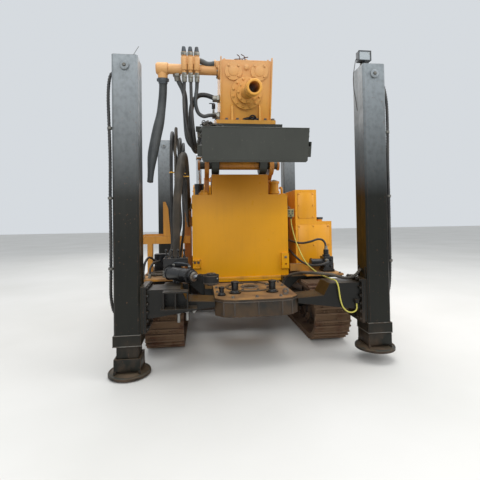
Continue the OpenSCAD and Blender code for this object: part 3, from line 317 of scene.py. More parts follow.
looks = {
    # legBlack pales to blue-grey towards the top: painted sky sheen on the black paint of the upper legs
    "legBlack": paintLook("legBlack", "12130c", shade="0a0b07", bare="6a4c36",
                          rough=0.36, wear=0.55, dust=0.30, mudTop=0.22, streak=0.8, speck=0.5, patch=0.6,
                          fade=(1.40, 2.55, "8b9296"), mottle=0.22, gloss=0.28),
    "frameBlack": paintLook("frameBlack", "100f0b", shade="080806", bare="4a3626", rough=0.36, wear=0.5,
                            dust=0.2, mudTop=0.36, streak=0.3, patch=0.6, gloss=0.3),
    "mastBlack": paintLook("mastBlack", "33352f", shade="22241f", bare="5d584c", dustTone="6d6c62",
                           rough=0.5, wear=0.45, dust=0.45, streak=0.25, speck=0.5, patch=0.45,
                           mudTop=-1.0),
    # tankYellow darkens to brown towards the top: painted shade under the mast and head
    "tankYellow": paintLook("tankYellow", "e6a00a", shade="d0900e", bare="7c4f22", rough=0.32,
                            wear=0.35, dust=0.12, mudTop=0.45, streak=0.22, speck=0.3, patch=0.4,
                            fade=(1.25, 1.80, "a5681c"), gloss=0.32),
    "bodyYellow": paintLook("bodyYellow", "e8a118", shade="c9831a", bare="7c4f22", rough=0.34, wear=0.4,
                            dust=0.3, mudTop=0.6, streak=0.35, speck=0.3),
    "deckYellow": paintLook("deckYellow", "c98a28", shade="8f5c22", bare="5d402a", rough=0.5, wear=0.9,
                            dust=0.8, mudTop=0.75, streak=0.5, speck=0.6, patch=0.7),
    # a darker yellow-brown than the body's yellow: painted shade on the pedestal, mast rest and pivot pin,
    # over real wear and dust
    "shadedPostYellow": paintLook("shadedPostYellow", "c8842a", shade="8a5326", bare="6a3f26", rough=0.45, wear=0.8,
                            dust=0.5, mudTop=0.7, streak=0.6, speck=0.5, patch=0.8),
    # headYellow pales towards the top: painted haze and sheen on the gearbox and air pipe
    "headYellow": paintLook("headYellow", "dc9f3e", shade="c08232", bare="8a6440",
                            rough=0.52, wear=0.3, dust=0.15, mudTop=-1.0, streak=0.25, speck=0.3, patch=0.5,
                            fade=(2.30, 2.85, "cfa070")),
    "tableRust": paintLook("tableRust", "b98a4a", shade="7a5430", bare="4d3626", dustTone="93704a",
                           rough=0.6, wear=1.0, dust=0.6, mudTop=0.66, mudTone="4a3626", streak=0.6,
                           speck=0.9, patch=1.0, grain=0.3, under=(0.5775, "110f0a"), gloss=0.4),
    "skirtBlack": paintLook("skirtBlack", "2a2724", shade="15130f", bare="6b533c", rough=0.33, wear=0.7,
                            dust=0.5, mudTop=0.56, mudTone="4c3d31", streak=0.7, speck=0.6, patch=0.9),
    "greaseBlack": paintLook("greaseBlack", "17181a", shade="0c0c0c", bare="4d4135", dustTone="4a4239",
                             rough=0.22, wear=0.3, dust=0.4, mudTop=-1.0, streak=0.4, speck=0.6, patch=0.8),
    "trackRust": steelLook("trackRust", "6e5b4c", "5f3d28", rough=0.5, rusty=0.85, mud=0.8, bright=0.6),
    "padDark": steelLook("padDark", "34352e", "56452f", rough=0.55, metal=0.2, rusty=0.4, mud=0.3,
                         bright=0.3),
    "trackDark": steelLook("trackDark", "34302c", "4a3426", rough=0.6, rusty=0.6, mud=0.65),
    "bareSteel": steelLook("bareSteel", "8f8f8c", "6b4c36", rough=0.38, rusty=0.25),
    "wornSteel": steelLook("wornSteel", "7b776f", "5f4632", rough=0.42, rusty=0.5),
    "zincSteel": steelLook("zincSteel", "8b8a82", "6f5a3e", rough=0.42, rusty=0.3),
    "chrome": steelLook("chrome", "cfd2d6", "7a5b42", rough=0.14, metal=1.0, rusty=0.02, bright=0.0,
                        grain=0.0),
    "rodAndEye": steelLook("rodAndEye", "b9bcc0", "5c4636", rough=0.2, metal=1.0, rusty=0.2, bright=0.0,
                           grain=0.4, forged=(breakSizes, 0.30, "1c1815")),
    "chainSteel": steelLook("chainSteel", "3a3632", "3f2f24", rough=0.4, rusty=0.5, bright=0.5),
    # greySteelAndHighlight: real grey steel for nuts, clips and wire, and a painted highlight on the leg
    # collars' weld beads
    "greySteelAndHighlight": steelLook("greySteelAndHighlight", "6c6a64", "4c3d30", rough=0.5, metal=0.5, rusty=0.3),
    "blueGrey": steelLook("blueGrey", "4b5054", "4a3a2e", rough=0.5, metal=0.3, rusty=0.3),
    "heatBrown": steelLook("heatBrown", "4f4038", "5c3623", rough=0.7, metal=0.4, rusty=0.8),
    "mudBrown": steelLook("mudBrown", "6b5540", "4f3c2b", rough=0.9, metal=0.0, rusty=0.5, mud=0.9,
                          bright=0.0),
    "lampGlass": steelLook("lampGlass", "a9b0b3", "8a8576", rough=0.12, metal=0.2, rusty=0.05, grain=0.0),
    "hoseBlack": rubberLook("hoseBlack", "161718", rough=0.45, dust=0.3),
    "hoseGrey": rubberLook("hoseGrey", "34383a", rough=0.5, dust=0.5, dustTone="77756f"),
    "hoseOld": rubberLook("hoseOld", "3a342c", rough=0.6, dust=0.75, dustTone="75695a"),
    "airHoseGrey": rubberLook("airHoseGrey", "25292a", rough=0.55, dust=0.26, dustTone="646866"),
    "cableYellow": rubberLook("cableYellow", "b9b04e", dustTone="8c8356", scuff="8f8a4a"),
    "khakiPlastic": rubberLook("khakiPlastic", "8b8458", rough=0.5, dustTone="a39a78", scuff="5f5a3c"),
    "lampPlastic": rubberLook("lampPlastic", "2f3438", rough=0.4, dust=0.3),
    "tieYellow": rubberLook("tieYellow", "dda32c", rough=0.45, dust=0.3, dustTone="a8823c", scuff="b98a30"),
}
nodeLooks = {
    "legBlack": ["leg_rear_left", "leg_rear_right", "leg_front_left", "leg_front_right",
                 "foot_rear_left", "foot_rear_right", "foot_front_left", "foot_front_right"],
    "frameBlack": ["chassis_frame", "breakout_bracket"],
    "mastBlack": ["mast_girder", "mast_foot", "carriage"],
    "tankYellow": ["tank", "tank_filter"],
    "bodyYellow": ["hood", "hood_door_left", "hood_door_right", "fuel_box"],
    "deckYellow": ["deck"],
    "shadedPostYellow": ["pedestal", "mast_rest"],
    "headYellow": ["gearbox", "air_pipe", "spindle"],
    "tableRust": ["table", "table_insert"],
    "greaseBlack": ["table_posts", "breakout_barrel", "valve_bank", "side_valve", "lever_valve",
                    "lift_barrels"],
    "trackRust": ["track_left", "track_right"],
    "trackDark": ["track_frame_left", "track_frame_right"],
    "chrome": ["lift_rods"],
    "rodAndEye": ["breakout_rod"],
    "chainSteel": ["feed_chain"],
    "wornSteel": ["crown_wheels"],
    "blueGrey": ["motors", "engine"],
    "heatBrown": ["exhaust"],
    "lampPlastic": ["lamp"],
    "khakiPlastic": ["pendant_box"],
    "hoseBlack": ["air_hose", "head_hose", "body_hose"],
    "cableYellow": ["pendant_cable"],
}
for lookName, members in nodeLooks.items():
    for member in members:
        if member not in frame["nodes"]:
            continue
        slots = frame["nodes"][member].data.materials
        slots.clear()
        slots.append(looks[lookName])
print("finishes made")


# Tools for new pieces

def dropSelection():
    if bpy.context.object and bpy.context.object.mode != "OBJECT":
        bpy.ops.object.mode_set(mode="OBJECT")
    bpy.ops.object.select_all(action="DESELECT")


def pick(piece):
    dropSelection()
    piece.select_set(True)
    bpy.context.view_layer.objects.active = piece


def settle(piece, base, look, body, smooth=35):
    # puts the place into the mesh, smooths it, and gives it a finish and a body
    pick(piece)
    bpy.ops.object.transform_apply(location=True, rotation=True, scale=True)
    piece.data.transform(base)
    bpy.ops.object.shade_smooth_by_angle(angle=math.radians(smooth))
    piece.data.materials.clear()
    piece.data.materials.append(looks[look])
    if body:
        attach(piece, body)
    return piece


def roundEdges(piece, width, steps=2):
    pick(piece)
    bpy.ops.object.mode_set(mode="EDIT")
    bpy.ops.mesh.select_all(action="SELECT")
    bpy.ops.mesh.bevel(offset=width, segments=steps, affect="EDGES")
    bpy.ops.object.mode_set(mode="OBJECT")


def addBlock(name, low, high, look, body, base=rigFrame, soft=0.003):
    dropSelection()
    middle = [(a + b) / 2 for a, b in zip(low, high)]
    bpy.ops.mesh.primitive_cube_add(size=1, location=middle, scale=[b - a for a, b in zip(low, high)])
    piece = bpy.context.active_object
    piece.name = name
    pick(piece)
    bpy.ops.object.transform_apply(location=True, rotation=True, scale=True)
    if soft:
        roundEdges(piece, soft)
    return settle(piece, base, look, body)


def addRod(name, start, end, radius, look, body, base=rigFrame, sides=32, soft=0.002, tip=None):
    dropSelection()
    way = Vector(end) - Vector(start)
    turn = way.to_track_quat("Z", "Y").to_euler()
    bpy.ops.mesh.primitive_cone_add(vertices=sides, radius1=radius, radius2=radius if tip is None else tip,
                                    depth=way.length, location=(Vector(start) + Vector(end)) / 2,
                                    rotation=turn)
    piece = bpy.context.active_object
    piece.name = name
    pick(piece)
    bpy.ops.object.transform_apply(location=True, rotation=True, scale=True)
    if soft:
        bpy.ops.object.mode_set(mode="EDIT")
        bpy.ops.mesh.select_all(action="DESELECT")
        bpy.ops.object.mode_set(mode="OBJECT")
        for edge in piece.data.edges:
            first, second = (piece.data.vertices[i].co for i in edge.vertices)
            edge.select = abs((second - first).normalized().dot(way.normalized())) < 0.5
        bpy.ops.object.mode_set(mode="EDIT")
        bpy.ops.mesh.select_mode(type="EDGE")
        bpy.ops.mesh.bevel(offset=soft, segments=2, affect="EDGES")
        bpy.ops.object.mode_set(mode="OBJECT")
    return settle(piece, base, look, body)


def addWeld(name, start, end, radius, look, body, base=rigFrame):
    # a thin bead of weld, or a ground edge
    return addRod(name, start, end, radius, look, body, base, 8, 0)


def around(middle, half):
    # low and high corners of a block round a middle
    return [c - h for c, h in zip(middle, half)], [c + h for c, h in zip(middle, half)]


def ringOf(count, radius, start=0.0):
    # points spaced evenly round a circle
    turns = [start + k * 2 * math.pi / count for k in range(count)]
    return [(radius * math.cos(turn), radius * math.sin(turn)) for turn in turns]


def fromPoints(name, points, faces):
    # a new piece from its points and faces
    mesh = bpy.data.meshes.new(name)
    mesh.from_pydata(points, [], faces)
    piece = bpy.data.objects.new(name, mesh)
    bpy.context.scene.collection.objects.link(piece)
    return piece


def turnRing(name, start, way, profile, look, body, base=rigFrame, sides=64):
    # a closed profile of radius and reach, turned round an axis
    facing = Vector(way).to_track_quat("Z", "Y").to_matrix().to_4x4()
    put = Matrix.Translation(start) @ facing
    count, points, faces = len(profile), [], []
    for i in range(sides):
        angle = 2 * math.pi * i / sides
        for radius, reach in profile:
            points.append(put @ Vector((radius * math.cos(angle), radius * math.sin(angle), reach)))
    for i in range(sides):
        j = (i + 1) % sides
        for k in range(count):
            m = (k + 1) % count
            faces.append((i * count + k, j * count + k, j * count + m, i * count + m))
    piece = fromPoints(name, points, faces)
    pick(piece)
    bpy.ops.object.mode_set(mode="EDIT")
    bpy.ops.mesh.select_all(action="SELECT")
    bpy.ops.mesh.normals_make_consistent(inside=False)
    bpy.ops.object.mode_set(mode="OBJECT")
    return settle(piece, base, look, body)


def joinPieces(name, pieces, body):
    # several pieces of one body made one piece
    for piece in pieces:
        piece.parent = None
    pick(pieces[0])
    for piece in pieces[1:]:
        piece.select_set(True)
    bpy.ops.object.join()
    pieces[0].name = name
    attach(pieces[0], body)
    return pieces[0]


def repeatModel(name, model, places, look, body, base=rigFrame):
    # copies a model's mesh to each place, given as a point, the way its top faces, a size and a turn
    built = bmesh.new()
    for point, way, size, turn in places:
        first = len(built.verts)
        built.from_mesh(model.data)
        facing = Vector(way).to_track_quat("Z", "Y").to_matrix().to_4x4()
        put = base @ Matrix.Translation(point) @ facing
        put = put @ Matrix.Rotation(turn, 4, "Z") @ Matrix.Diagonal((size, size, size, 1))
        built.verts.ensure_lookup_table()
        bmesh.ops.transform(built, matrix=put, verts=built.verts[first:])
    mesh = bpy.data.meshes.new(name)
    built.to_mesh(mesh)
    built.free()
    piece = bpy.data.objects.new(name, mesh)
    bpy.context.scene.collection.objects.link(piece)
    return settle(piece, Matrix.Identity(4), look, body)


def makeBolt():
    # hexagon head on a washer, 1 m across, to be scaled where it is used
    head = addRod("boltModel", (0, 0, 0.1), (0, 0, 0.62), 0.5, "zincSteel", None, Matrix.Identity(4), 6,
                  0.06)
    washer = addRod("washerModel", (0, 0, -0.02), (0, 0, 0.12), 0.72, "zincSteel", None, Matrix.Identity(4),
                    16, 0.03)
    pick(head)
    washer.select_set(True)
    bpy.ops.object.join()
    return head


boltModel = makeBolt()
# the body that a piece rides on, and the frame that it is measured in
onHead, onGirder = ("head", mastFrame), ("mast", mastFrame)


def smoothRoute(route, count):
    # points of a smooth curve through the route, count to each stretch
    points = [Vector(p) for p in route]
    full = [points[0]] + points + [points[-1]]
    found = []
    for i in range(1, len(full) - 2):
        a, b, c, d = full[i - 1:i + 3]
        for k in range(count):
            t = k / count
            found.append(0.5 * (2 * b + (c - a) * t + (2 * a - 5 * b + 4 * c - d) * t * t
                                + (3 * b - a - 3 * c + d) * t * t * t))
    return found + [points[-1]]


def sweepTube(name, route, girth, sides, look, body, count=8, base=rigFrame):
    # a closed tube along a route; girth is a radius, or gives one from the way gone and the angle round
    line = [base @ p for p in smoothRoute(route, count)]
    ways = [(line[min(i + 1, len(line) - 1)] - line[max(i - 1, 0)]).normalized() for i in range(len(line))]
    side = ways[0].orthogonal().normalized()
    points, faces, gone = [], [], 0.0
    for i, (middle, way) in enumerate(zip(line, ways)):
        side = (side - way * side.dot(way)).normalized()
        other = way.cross(side)
        gone += (middle - line[i - 1]).length if i else 0.0
        for k in range(sides):
            angle = 2 * math.pi * k / sides
            radius = girth(gone, angle) if callable(girth) else girth
            points.append(middle + side * radius * math.cos(angle) + other * radius * math.sin(angle))
    for i in range(len(line) - 1):
        for k in range(sides):
            m = (k + 1) % sides
            faces.append((i * sides + k, i * sides + m, (i + 1) * sides + m, (i + 1) * sides + k))
    faces.append(tuple(range(sides - 1, -1, -1)))
    faces.append(tuple((len(line) - 1) * sides + k for k in range(sides)))
    piece = fromPoints(name, points, faces)
    settle(piece, Matrix.Identity(4), look, body, 60)
    return piece, line


def layHose(name, route, diameter, body, look="hoseBlack", stands=(),
            guard=None, sides=14, swell=None):
    # a free hose of its real length; guard is a spiral's pitch round it
    half = diameter / 2

    def radiusAt(gone, angle):
        if swell:
            # radius along the way, as shares of the diameter at stated points
            for (start, first), (end, last) in zip(swell, swell[1:]):
                if gone <= end:
                    break
            share = min(1.0, max(0.0, (gone - start) / (end - start)))
            return diameter * (first + (last - first) * share * share * (3 - 2 * share))
        if guard:
            return half * (0.80 + 0.20 * max(0.0, math.cos(2 * math.pi * gone / guard - angle)) ** 2)
        return half

    stretch = sum((Vector(a) - Vector(b)).length for a, b in zip(route, route[1:]))
    count = max(4, round(stretch / (len(route) - 1) / (guard / 6 if guard else max(0.5 * diameter, 0.012))))
    piece, line = sweepTube(name, route, radiusAt, sides, look, body, min(count, 60))
    length = sum((a - b).length for a, b in zip(line, line[1:]))
    if stands:
        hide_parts(*stands)


# Floor

floorMargin = 40


def addFloor():
    dropSelection()
    bpy.ops.mesh.primitive_plane_add(size=2 * floorMargin, location=(0, 0, 0))
    floor = bpy.context.active_object
    floor.name = "studioFloor"
    look, place, _, shader = startLook("paleFloor")
    cloud = place.noise(0.6, 4).ramp(0.3, 0.7)
    feed(shader.inputs["Base Color"], cloud.mix(tone("cfcdc8"), tone("d8d6d2")))
    shader.inputs["Roughness"].default_value = 0.85
    floor.data.materials.append(look)


addFloor()
print("floor laid")


# Hoses that the solids hold, by the same routes

seat = 0.0003
pipeReach, pipeA, pipeB = 0.8, -0.413, 0.97
portA, portXs = -0.49, (-0.59, -0.53, -0.47)
railTop, bracketA = 0.415, -0.43
airHose = {"diameter": 0.072,
           "route": [onMast(-pipeReach, pipeA, pipeB - 0.11 - seat),
                     onMast(-pipeReach, pipeA, pipeB - 0.145), (-0.802, 0.640, 2.490),
                     (-0.808, 0.620, 2.380), (-0.822, 0.560, 2.200), (-0.850, 0.470, 2.000),
                     (-0.875, 0.375, 1.780), (-0.885, 0.300, 1.560)]}
headHose = {"diameter": 0.030,
            "route": [onMast(-0.53, portA, pipeB - 0.065 - seat), onMast(-0.53, portA, pipeB - 0.1),
                      (-0.529, 0.558, 2.500), (-0.526, 0.540, 2.350), (-0.520, 0.515, 2.200),
                      (-0.510, 0.510, 2.080), (-0.497, 0.555, 1.975), (-0.480, 0.640, 1.940),
                      (-0.465, 0.720, 1.985), onMast(-0.455, bracketA, railTop - 0.075),
                      onMast(-0.455, bracketA, railTop - 0.035 - seat)]}
bodyHose = {"diameter": 0.080,
            "route": [(-0.716, 0.905, 0.6503), (-0.716, 0.905, 0.730), (-0.712, 0.885, 0.900),
                      (-0.702, 0.800, 1.150), (-0.685, 0.700, 1.400), (-0.662, 0.660, 1.600),
                      (-0.642, 0.720, 1.800), (-0.630, 0.860, 1.900), (-0.622, 1.040, 1.900),
                      (-0.616, 1.190, 1.800), (-0.613, 1.310, 1.620), (-0.613, 1.400, 1.480),
                      (-0.613, 1.470, 1.415), (-0.613, 1.530, 1.400), (-0.613, 1.5697, 1.400)]}
pendantCable = {"diameter": 0.012,
                "route": [(0.600, 1.190, 1.2447), (0.600, 1.190, 1.228), (0.600, 1.190, 1.205),
                          (0.604, 1.170, 1.130), (0.620, 1.050, 0.950), (0.640, 0.800, 0.770),
                          (0.655, 0.500, 0.702), (0.662, 0.300, 0.690), (0.668, 0.150, 0.690),
                          (0.672, 0.085, 0.692), (0.676, 0.050, 0.686), (0.680, 0.030, 0.664),
                          (0.686, 0.025, 0.630), (0.700, 0.028, 0.540), (0.725, 0.034, 0.470),
                          (0.765, 0.036, 0.432), (0.805, 0.036, 0.424), (0.835, 0.036, 0.436),
                          (0.845, 0.036, 0.455), (0.845, 0.036, 0.478), (0.845, 0.036, 0.4997)]}

layHose("airHoseTube", airHose["route"], airHose["diameter"], "head", "airHoseGrey", ["air_hose"],
        sides=28, swell=((0.0, 0.53), (0.30, 0.55), (0.52, 0.66), (0.78, 0.64), (1.06, 0.36)))
layHose("headHoseTube", headHose["route"], headHose["diameter"], "head", "hoseBlack", ["head_hose"])
layHose("bodyHoseTube", bodyHose["route"], bodyHose["diameter"], "chassis", "hoseOld", ["body_hose"],
        sides=24)
layHose("pendantCableTube", pendantCable["route"], pendantCable["diameter"], "chassis", "cableYellow",
        ["pendant_cable"], sides=10)
print("hoses of the solids laid")


# Hoses on the head, with their ferrules


def crimp(name, at, way, diameter, body, length=0.06, base=rigFrame):
    # pressed steel ferrule with its nut where a hose meets a fitting
    start, along = Vector(at), Vector(way).normalized()
    sleeve = addRod(name, start, start + along * length, diameter * 0.64, "zincSteel", body, base, 20)
    nut = addRod(name + "Nut", start - along * 0.004, start + along * length * 0.36, diameter * 0.80,
                 "zincSteel", body, base, 6)
    joinPieces(name, [sleeve, nut], body)


portLow = pipeB - 0.065 - seat
mastDown = Vector(onMast(0, 0, 0)) - Vector(onMast(0, 0, 1))
headHoses = {
    "headHoseOuter": {"diameter": 0.032, "look": "hoseBlack",
                      "route": [onMast(-0.59, portA, portLow), onMast(-0.59, portA, pipeB - 0.1),
                                (-0.594, 0.565, 2.500), (-0.596, 0.540, 2.350), (-0.588, 0.520, 2.200),
                                (-0.565, 0.515, 2.060), (-0.530, 0.560, 1.940), (-0.490, 0.650, 1.890),
                                (-0.440, 0.730, 1.950), onMast(-0.415, bracketA, railTop - 0.085),
                                onMast(-0.415, bracketA, railTop - 0.035 - seat)]},
    "headHoseInner": {"diameter": 0.036, "look": "hoseGrey",
                      "route": [onMast(-0.47, portA, portLow), onMast(-0.47, portA, pipeB - 0.1),
                                (-0.474, 0.590, 2.500), (-0.484, 0.585, 2.420), (-0.486, 0.585, 2.340),
                                (-0.462, 0.595, 2.265), (-0.410, 0.605, 2.235), (-0.350, 0.610, 2.248),
                                onMast(-0.275, -0.46, 0.54)]},
    "headHoseSide": {"diameter": 0.048, "look": "hoseBlack",
                     "route": [onMast(-0.262, -0.40, 0.705), onMast(-0.310, -0.40, 0.715),
                               (-0.390, 0.675, 2.470), (-0.465, 0.665, 2.455), (-0.520, 0.650, 2.370),
                               (-0.540, 0.640, 2.200), (-0.530, 0.700, 2.030), (-0.490, 0.800, 1.970),
                               (-0.440, 0.900, 1.985), onMast(-0.400, -0.245, 0.410),
                               onMast(-0.372, -0.235, 0.415)]},
    "headHoseRear": {"diameter": 0.050, "look": "hoseGrey",
                     "route": [onMast(-0.665, pipeA, pipeB - 0.050),
                               onMast(-0.650, pipeA + 0.010, pipeB - 0.105), (-0.606, 0.655, 2.500),
                               (-0.590, 0.680, 2.400), (-0.588, 0.700, 2.220), (-0.575, 0.760, 2.060),
                               (-0.530, 0.860, 2.000), (-0.470, 0.960, 2.010),
                               onMast(-0.410, -0.155, 0.410), onMast(-0.372, -0.140, 0.415)]},
}
for name, given in headHoses.items():
    layHose(name, given["route"], given["diameter"], "head", given["look"])
for portX in portXs:
    crimp("portCrimp", onMast(portX, portA, portLow), mastDown, 0.036, "head")
for endX in (-0.455, -0.415):
    crimp("bracketCrimp", onMast(endX, bracketA, railTop - 0.035), mastDown, 0.032, "head")
crimp("rearCrimp", onMast(-0.667, pipeA, pipeB - 0.044),
      Vector(onMast(0.15, 0.09, 0)) - Vector(onMast(0, 0, 1)), 0.048, "head", 0.065)
crimp("sideCrimp", onMast(-0.25, -0.40, 0.705), (-1, 0, 0), 0.050, "head", 0.07)
crimp("elbowCrimp", onMast(-0.25, -0.46, 0.54), (-1, 0, 0), 0.048, "head", 0.075)
for endA in (-0.235, -0.140):
    crimp("carriageCrimp", onMast(-0.357, endA, 0.415), (-1, 0, 0), 0.050, "head", 0.05)

# Hoses on the chassis: a bundle that rises beside the mast foot and comes down to the pedestal

bundle = {
    "bundleA": {"diameter": 0.034, "guard": None, "x": -0.742, "top": 2.16, "turnY": 0.96,
                "foot": (-0.760, 0.960), "end": 1.34},
    "bundleB": {"diameter": 0.030, "guard": 0.016, "x": -0.700, "top": 2.20, "turnY": 0.93,
                "foot": (-0.800, 0.930), "end": 1.28},
    "bundleC": {"diameter": 0.034, "guard": None, "x": -0.664, "top": 2.10, "turnY": 0.99,
                "foot": (-0.840, 0.990), "end": 1.22},
    "bundleD": {"diameter": 0.026, "guard": None, "x": -0.626, "top": 2.04, "turnY": 0.95,
                "foot": (-0.690, 1.010), "end": 1.16},
}


def bundleEnd(x):
    # how far across a hose of the bundle meets the post of the pedestal
    return -0.615 + (x + 0.68) * 0.25


def bundleRoute(given):
    # up from the deck, over in a wide loop, and down to the post of the pedestal
    x, top, turnY = given["x"], given["top"], given["turnY"]
    footX, footY = given["foot"]
    endX = bundleEnd(x)
    return [(footX, footY, 0.642), (footX, footY, 0.700), (0.6 * footX + 0.4 * x, footY - 0.05, 0.900),
            (x, 0.800, 1.150), (x, 0.755, 1.400), (x, 0.760, 1.650), (x, 0.785, top - 0.270),
            (x, 0.845, top - 0.090), (x, turnY, top), (x, turnY + 0.115, top - 0.095),
            (0.7 * x + 0.3 * endX, 1.120, top - 0.290), (0.4 * x + 0.6 * endX, 1.190, 1.620),
            (endX, 1.290, given["end"] + 0.120), (endX, 1.400, given["end"] + 0.020),
            (endX, 1.500, given["end"]), (endX, 1.545, given["end"])]


for name, given in bundle.items():
    layHose(name, bundleRoute(given), given["diameter"], "chassis",
            "hoseOld" if given["guard"] else "hoseBlack", guard=given["guard"])
    footX, footY = given["foot"]
    endX = bundleEnd(given["x"])
    crimp(name + "Foot", (footX, footY, 0.620), (0, 0, 1), given["diameter"], "chassis", 0.07)
    crimp(name + "End", (endX, 1.570, given["end"]), (0, -1, 0), given["diameter"], "chassis", 0.05)
crimp("bodyHoseFoot", (-0.716, 0.905, 0.650), (0, 0, 1), 0.080, "chassis", 0.09)
crimp("bodyHoseEnd", (-0.613, 1.570, 1.400), (0, -1, 0), 0.080, "chassis", 0.08)
print("hoses laid")


# Rotary head

def mastBolts(name, spots, way, size, look, body):
    # bolts given in mast measures: x, a, b
    repeatModel(name, boltModel, [(spot, way, size, random.uniform(0, 1)) for spot in spots], look, body,
                mastFrame)


headSizes = {"face": -0.547, "back": -0.047, "footTop": 0.50, "top": 1.05,
             "coverX": 0.125, "coverB": 0.95, "coverOut": 0.016, "coverBoltR": 0.066,
             "coverTurns": (0.79, 2.36, 3.93, 5.50), "discB": 0.75, "discOut": 0.032,
             "discBoltR": 0.130, "plugB": 0.985, "footX": (-0.268, -0.190, -0.085, 0.085, 0.190, 0.268),
             "footA": (-0.47, -0.36, -0.25, -0.14), "lugX": 0.24375, "lidX": 0.232,
             "breather": (0.08, -0.20)}


def dressHead(given):
    face, top, footTop = given["face"], given["top"], given["footTop"]
    coverX, coverB, coverR = given["coverX"], given["coverB"], given["coverBoltR"]
    cover = [(side * coverX + coverR * math.cos(turn), face - given["coverOut"],
              coverB + coverR * math.sin(turn)) for side in (-1, 1) for turn in given["coverTurns"]]
    mastBolts("coverBolts", cover, (0, -1, 0), 0.017, "headYellow", "head")
    disc = [(x, face - given["discOut"], given["discB"] + b)
            for x, b in ringOf(12, given["discBoltR"], 0.26)]
    mastBolts("discBolts", disc, (0, -1, 0), 0.019, "headYellow", "head")
    plugB = given["plugB"]
    plug = addRod("topPlug", (0, face, plugB), (0, face - 0.022, plugB), 0.021, "headYellow", *onHead, 6)
    collar = addRod("topPlugCollar", (0, face, plugB), (0, face - 0.008, plugB), 0.028, "headYellow",
                    *onHead)
    joinPieces("facePlug", [plug, collar], "head")
    rings = [addRod("coverRing", (x, face - 0.012, coverB), (x, face - given["coverOut"] - 0.005, coverB),
                    0.046, "headYellow", *onHead, 48) for x in (-coverX, coverX)]
    joinPieces("coverCentres", rings, "head")
    foot = [(x, a, footTop) for a in (-0.585, -0.045) for x in given["footX"]]
    foot += [(x, a, footTop) for x in (-0.270, 0.270) for a in given["footA"]]
    mastBolts("footBolts", foot, (0, 0, 1), 0.030, "wornSteel", "head")
    lugs = [addBlock("topLug", *around((side * given["lugX"], a, top + 0.011), (0.006, 0.016, 0.015)),
                     "headYellow", *onHead, 0.004) for side in (-1, 1) for a in (-0.548, -0.060)]
    joinPieces("topLugs", lugs, "head")
    weldA = face - 0.004
    seams = [addWeld("gussetWeld", (x, weldA, 0.505), (x, weldA, 0.640), 0.005, "headYellow", *onHead)
             for x in (-0.136, 0.136)]
    seams.append(addWeld("footWeld", (-0.24, weldA, 0.503), (0.24, weldA, 0.503), 0.005, "headYellow",
                         *onHead))
    joinPieces("gearWelds", seams, "head")
    lidX = given["lidX"]
    addBlock("topLid", (-lidX, face + 0.006, top - 0.010), (lidX, given["back"] - 0.006, top + 0.002),
             "headYellow", *onHead, 0.002)
    lid = [(x, a, top + 0.002) for x in (-0.21, 0, 0.21) for a in (-0.52, -0.30, -0.075)]
    mastBolts("lidBolts", lid, (0, 0, 1), 0.018, "headYellow", "head")
    x, a = given["breather"]
    neck = addRod("breatherNeck", (x, a, top), (x, a, top + 0.03), 0.014, "zincSteel", *onHead)
    cap = addRod("breatherCap", (x, a, top + 0.03), (x, a, top + 0.055), 0.026, "wornSteel", *onHead)
    joinPieces("breather", [neck, cap], "head")


def looseRods(given):
    # bent ends of wire and rod left lying on the gearbox
    for i, (x, a, lean, side, length) in enumerate(given):
        start = Vector((x, a, 1.052))
        route = [start, start + Vector((side * 0.3, 0, lean)) * length * 0.5,
                 start + Vector((side, 0.1, lean * 0.8)) * length]
        sweepTube("looseRod%d" % i, route, 0.0042, 8, "heatBrown", "head", 6, mastFrame)


dressHead(headSizes)
looseRods([(-0.115, -0.50, 0.25, 0.9, 0.085), (-0.060, -0.50, 0.9, -0.35, 0.075),
           (-0.035, -0.52, 0.55, 0.75, 0.070), (-0.010, -0.50, 0.85, -0.45, 0.085),
           (-0.085, -0.49, 0.10, 1.0, 0.110)])

spindleSizes = {"front": -1.087, "b": 0.75, "bore": 0.045, "tube": 0.059, "lip": 0.066, "lipLong": 0.075,
                "threadStart": 0.140, "pitch": 0.006, "rounds": 10, "collarA": -0.641, "collarBoltR": 0.086}


def dressSpindle(given):
    # hollow lip, turned thread, and bolts round the collar
    front, b, lip, reach = given["front"], given["b"], given["lip"], given["lipLong"]
    bore, tube = given["bore"] + 0.0005, given["tube"]
    turnRing("spindleLip", (0, front, b), (0, 1, 0),
             [(bore, 0.0005), (bore, -0.001), (lip - 0.007, -0.001), (lip, 0.005), (lip, reach),
              (lip - 0.004, reach + 0.004), (tube, reach + 0.004), (tube, 0.012)], "headYellow", "spindle",
             mastFrame)
    ridge = [(0.0595, 0.0), (0.0622, 0.0018), (0.0622, 0.0030), (0.0595, 0.0048)]
    rounds = [turnRing("spindleThread", (0, front + given["threadStart"] + k * given["pitch"], b),
                       (0, 1, 0), ridge, "headYellow", "spindle", mastFrame)
              for k in range(given["rounds"])]
    joinPieces("spindleThread", rounds, "spindle")
    bolts = [(x, given["collarA"], b + up) for x, up in ringOf(8, given["collarBoltR"])]
    mastBolts("spindleBolts", bolts, (0, -1, 0), 0.015, "headYellow", "spindle")


dressSpindle(spindleSizes)

# Air pipe, its coupling and the fittings of the port block

pipeSizes = {"flangeX": -0.270, "flangeBoltR": 0.066, "weldX": (-0.748, -0.279), "capX": -0.862,
             "bypassA": -0.43, "tap": (-0.312, -0.46),
             "bypass": ((-0.446, 1.050), (-0.415, 1.040), (-0.375, 1.022), (-0.335, 1.020),
                        (-0.300, 1.028), (-0.285, 1.030))}


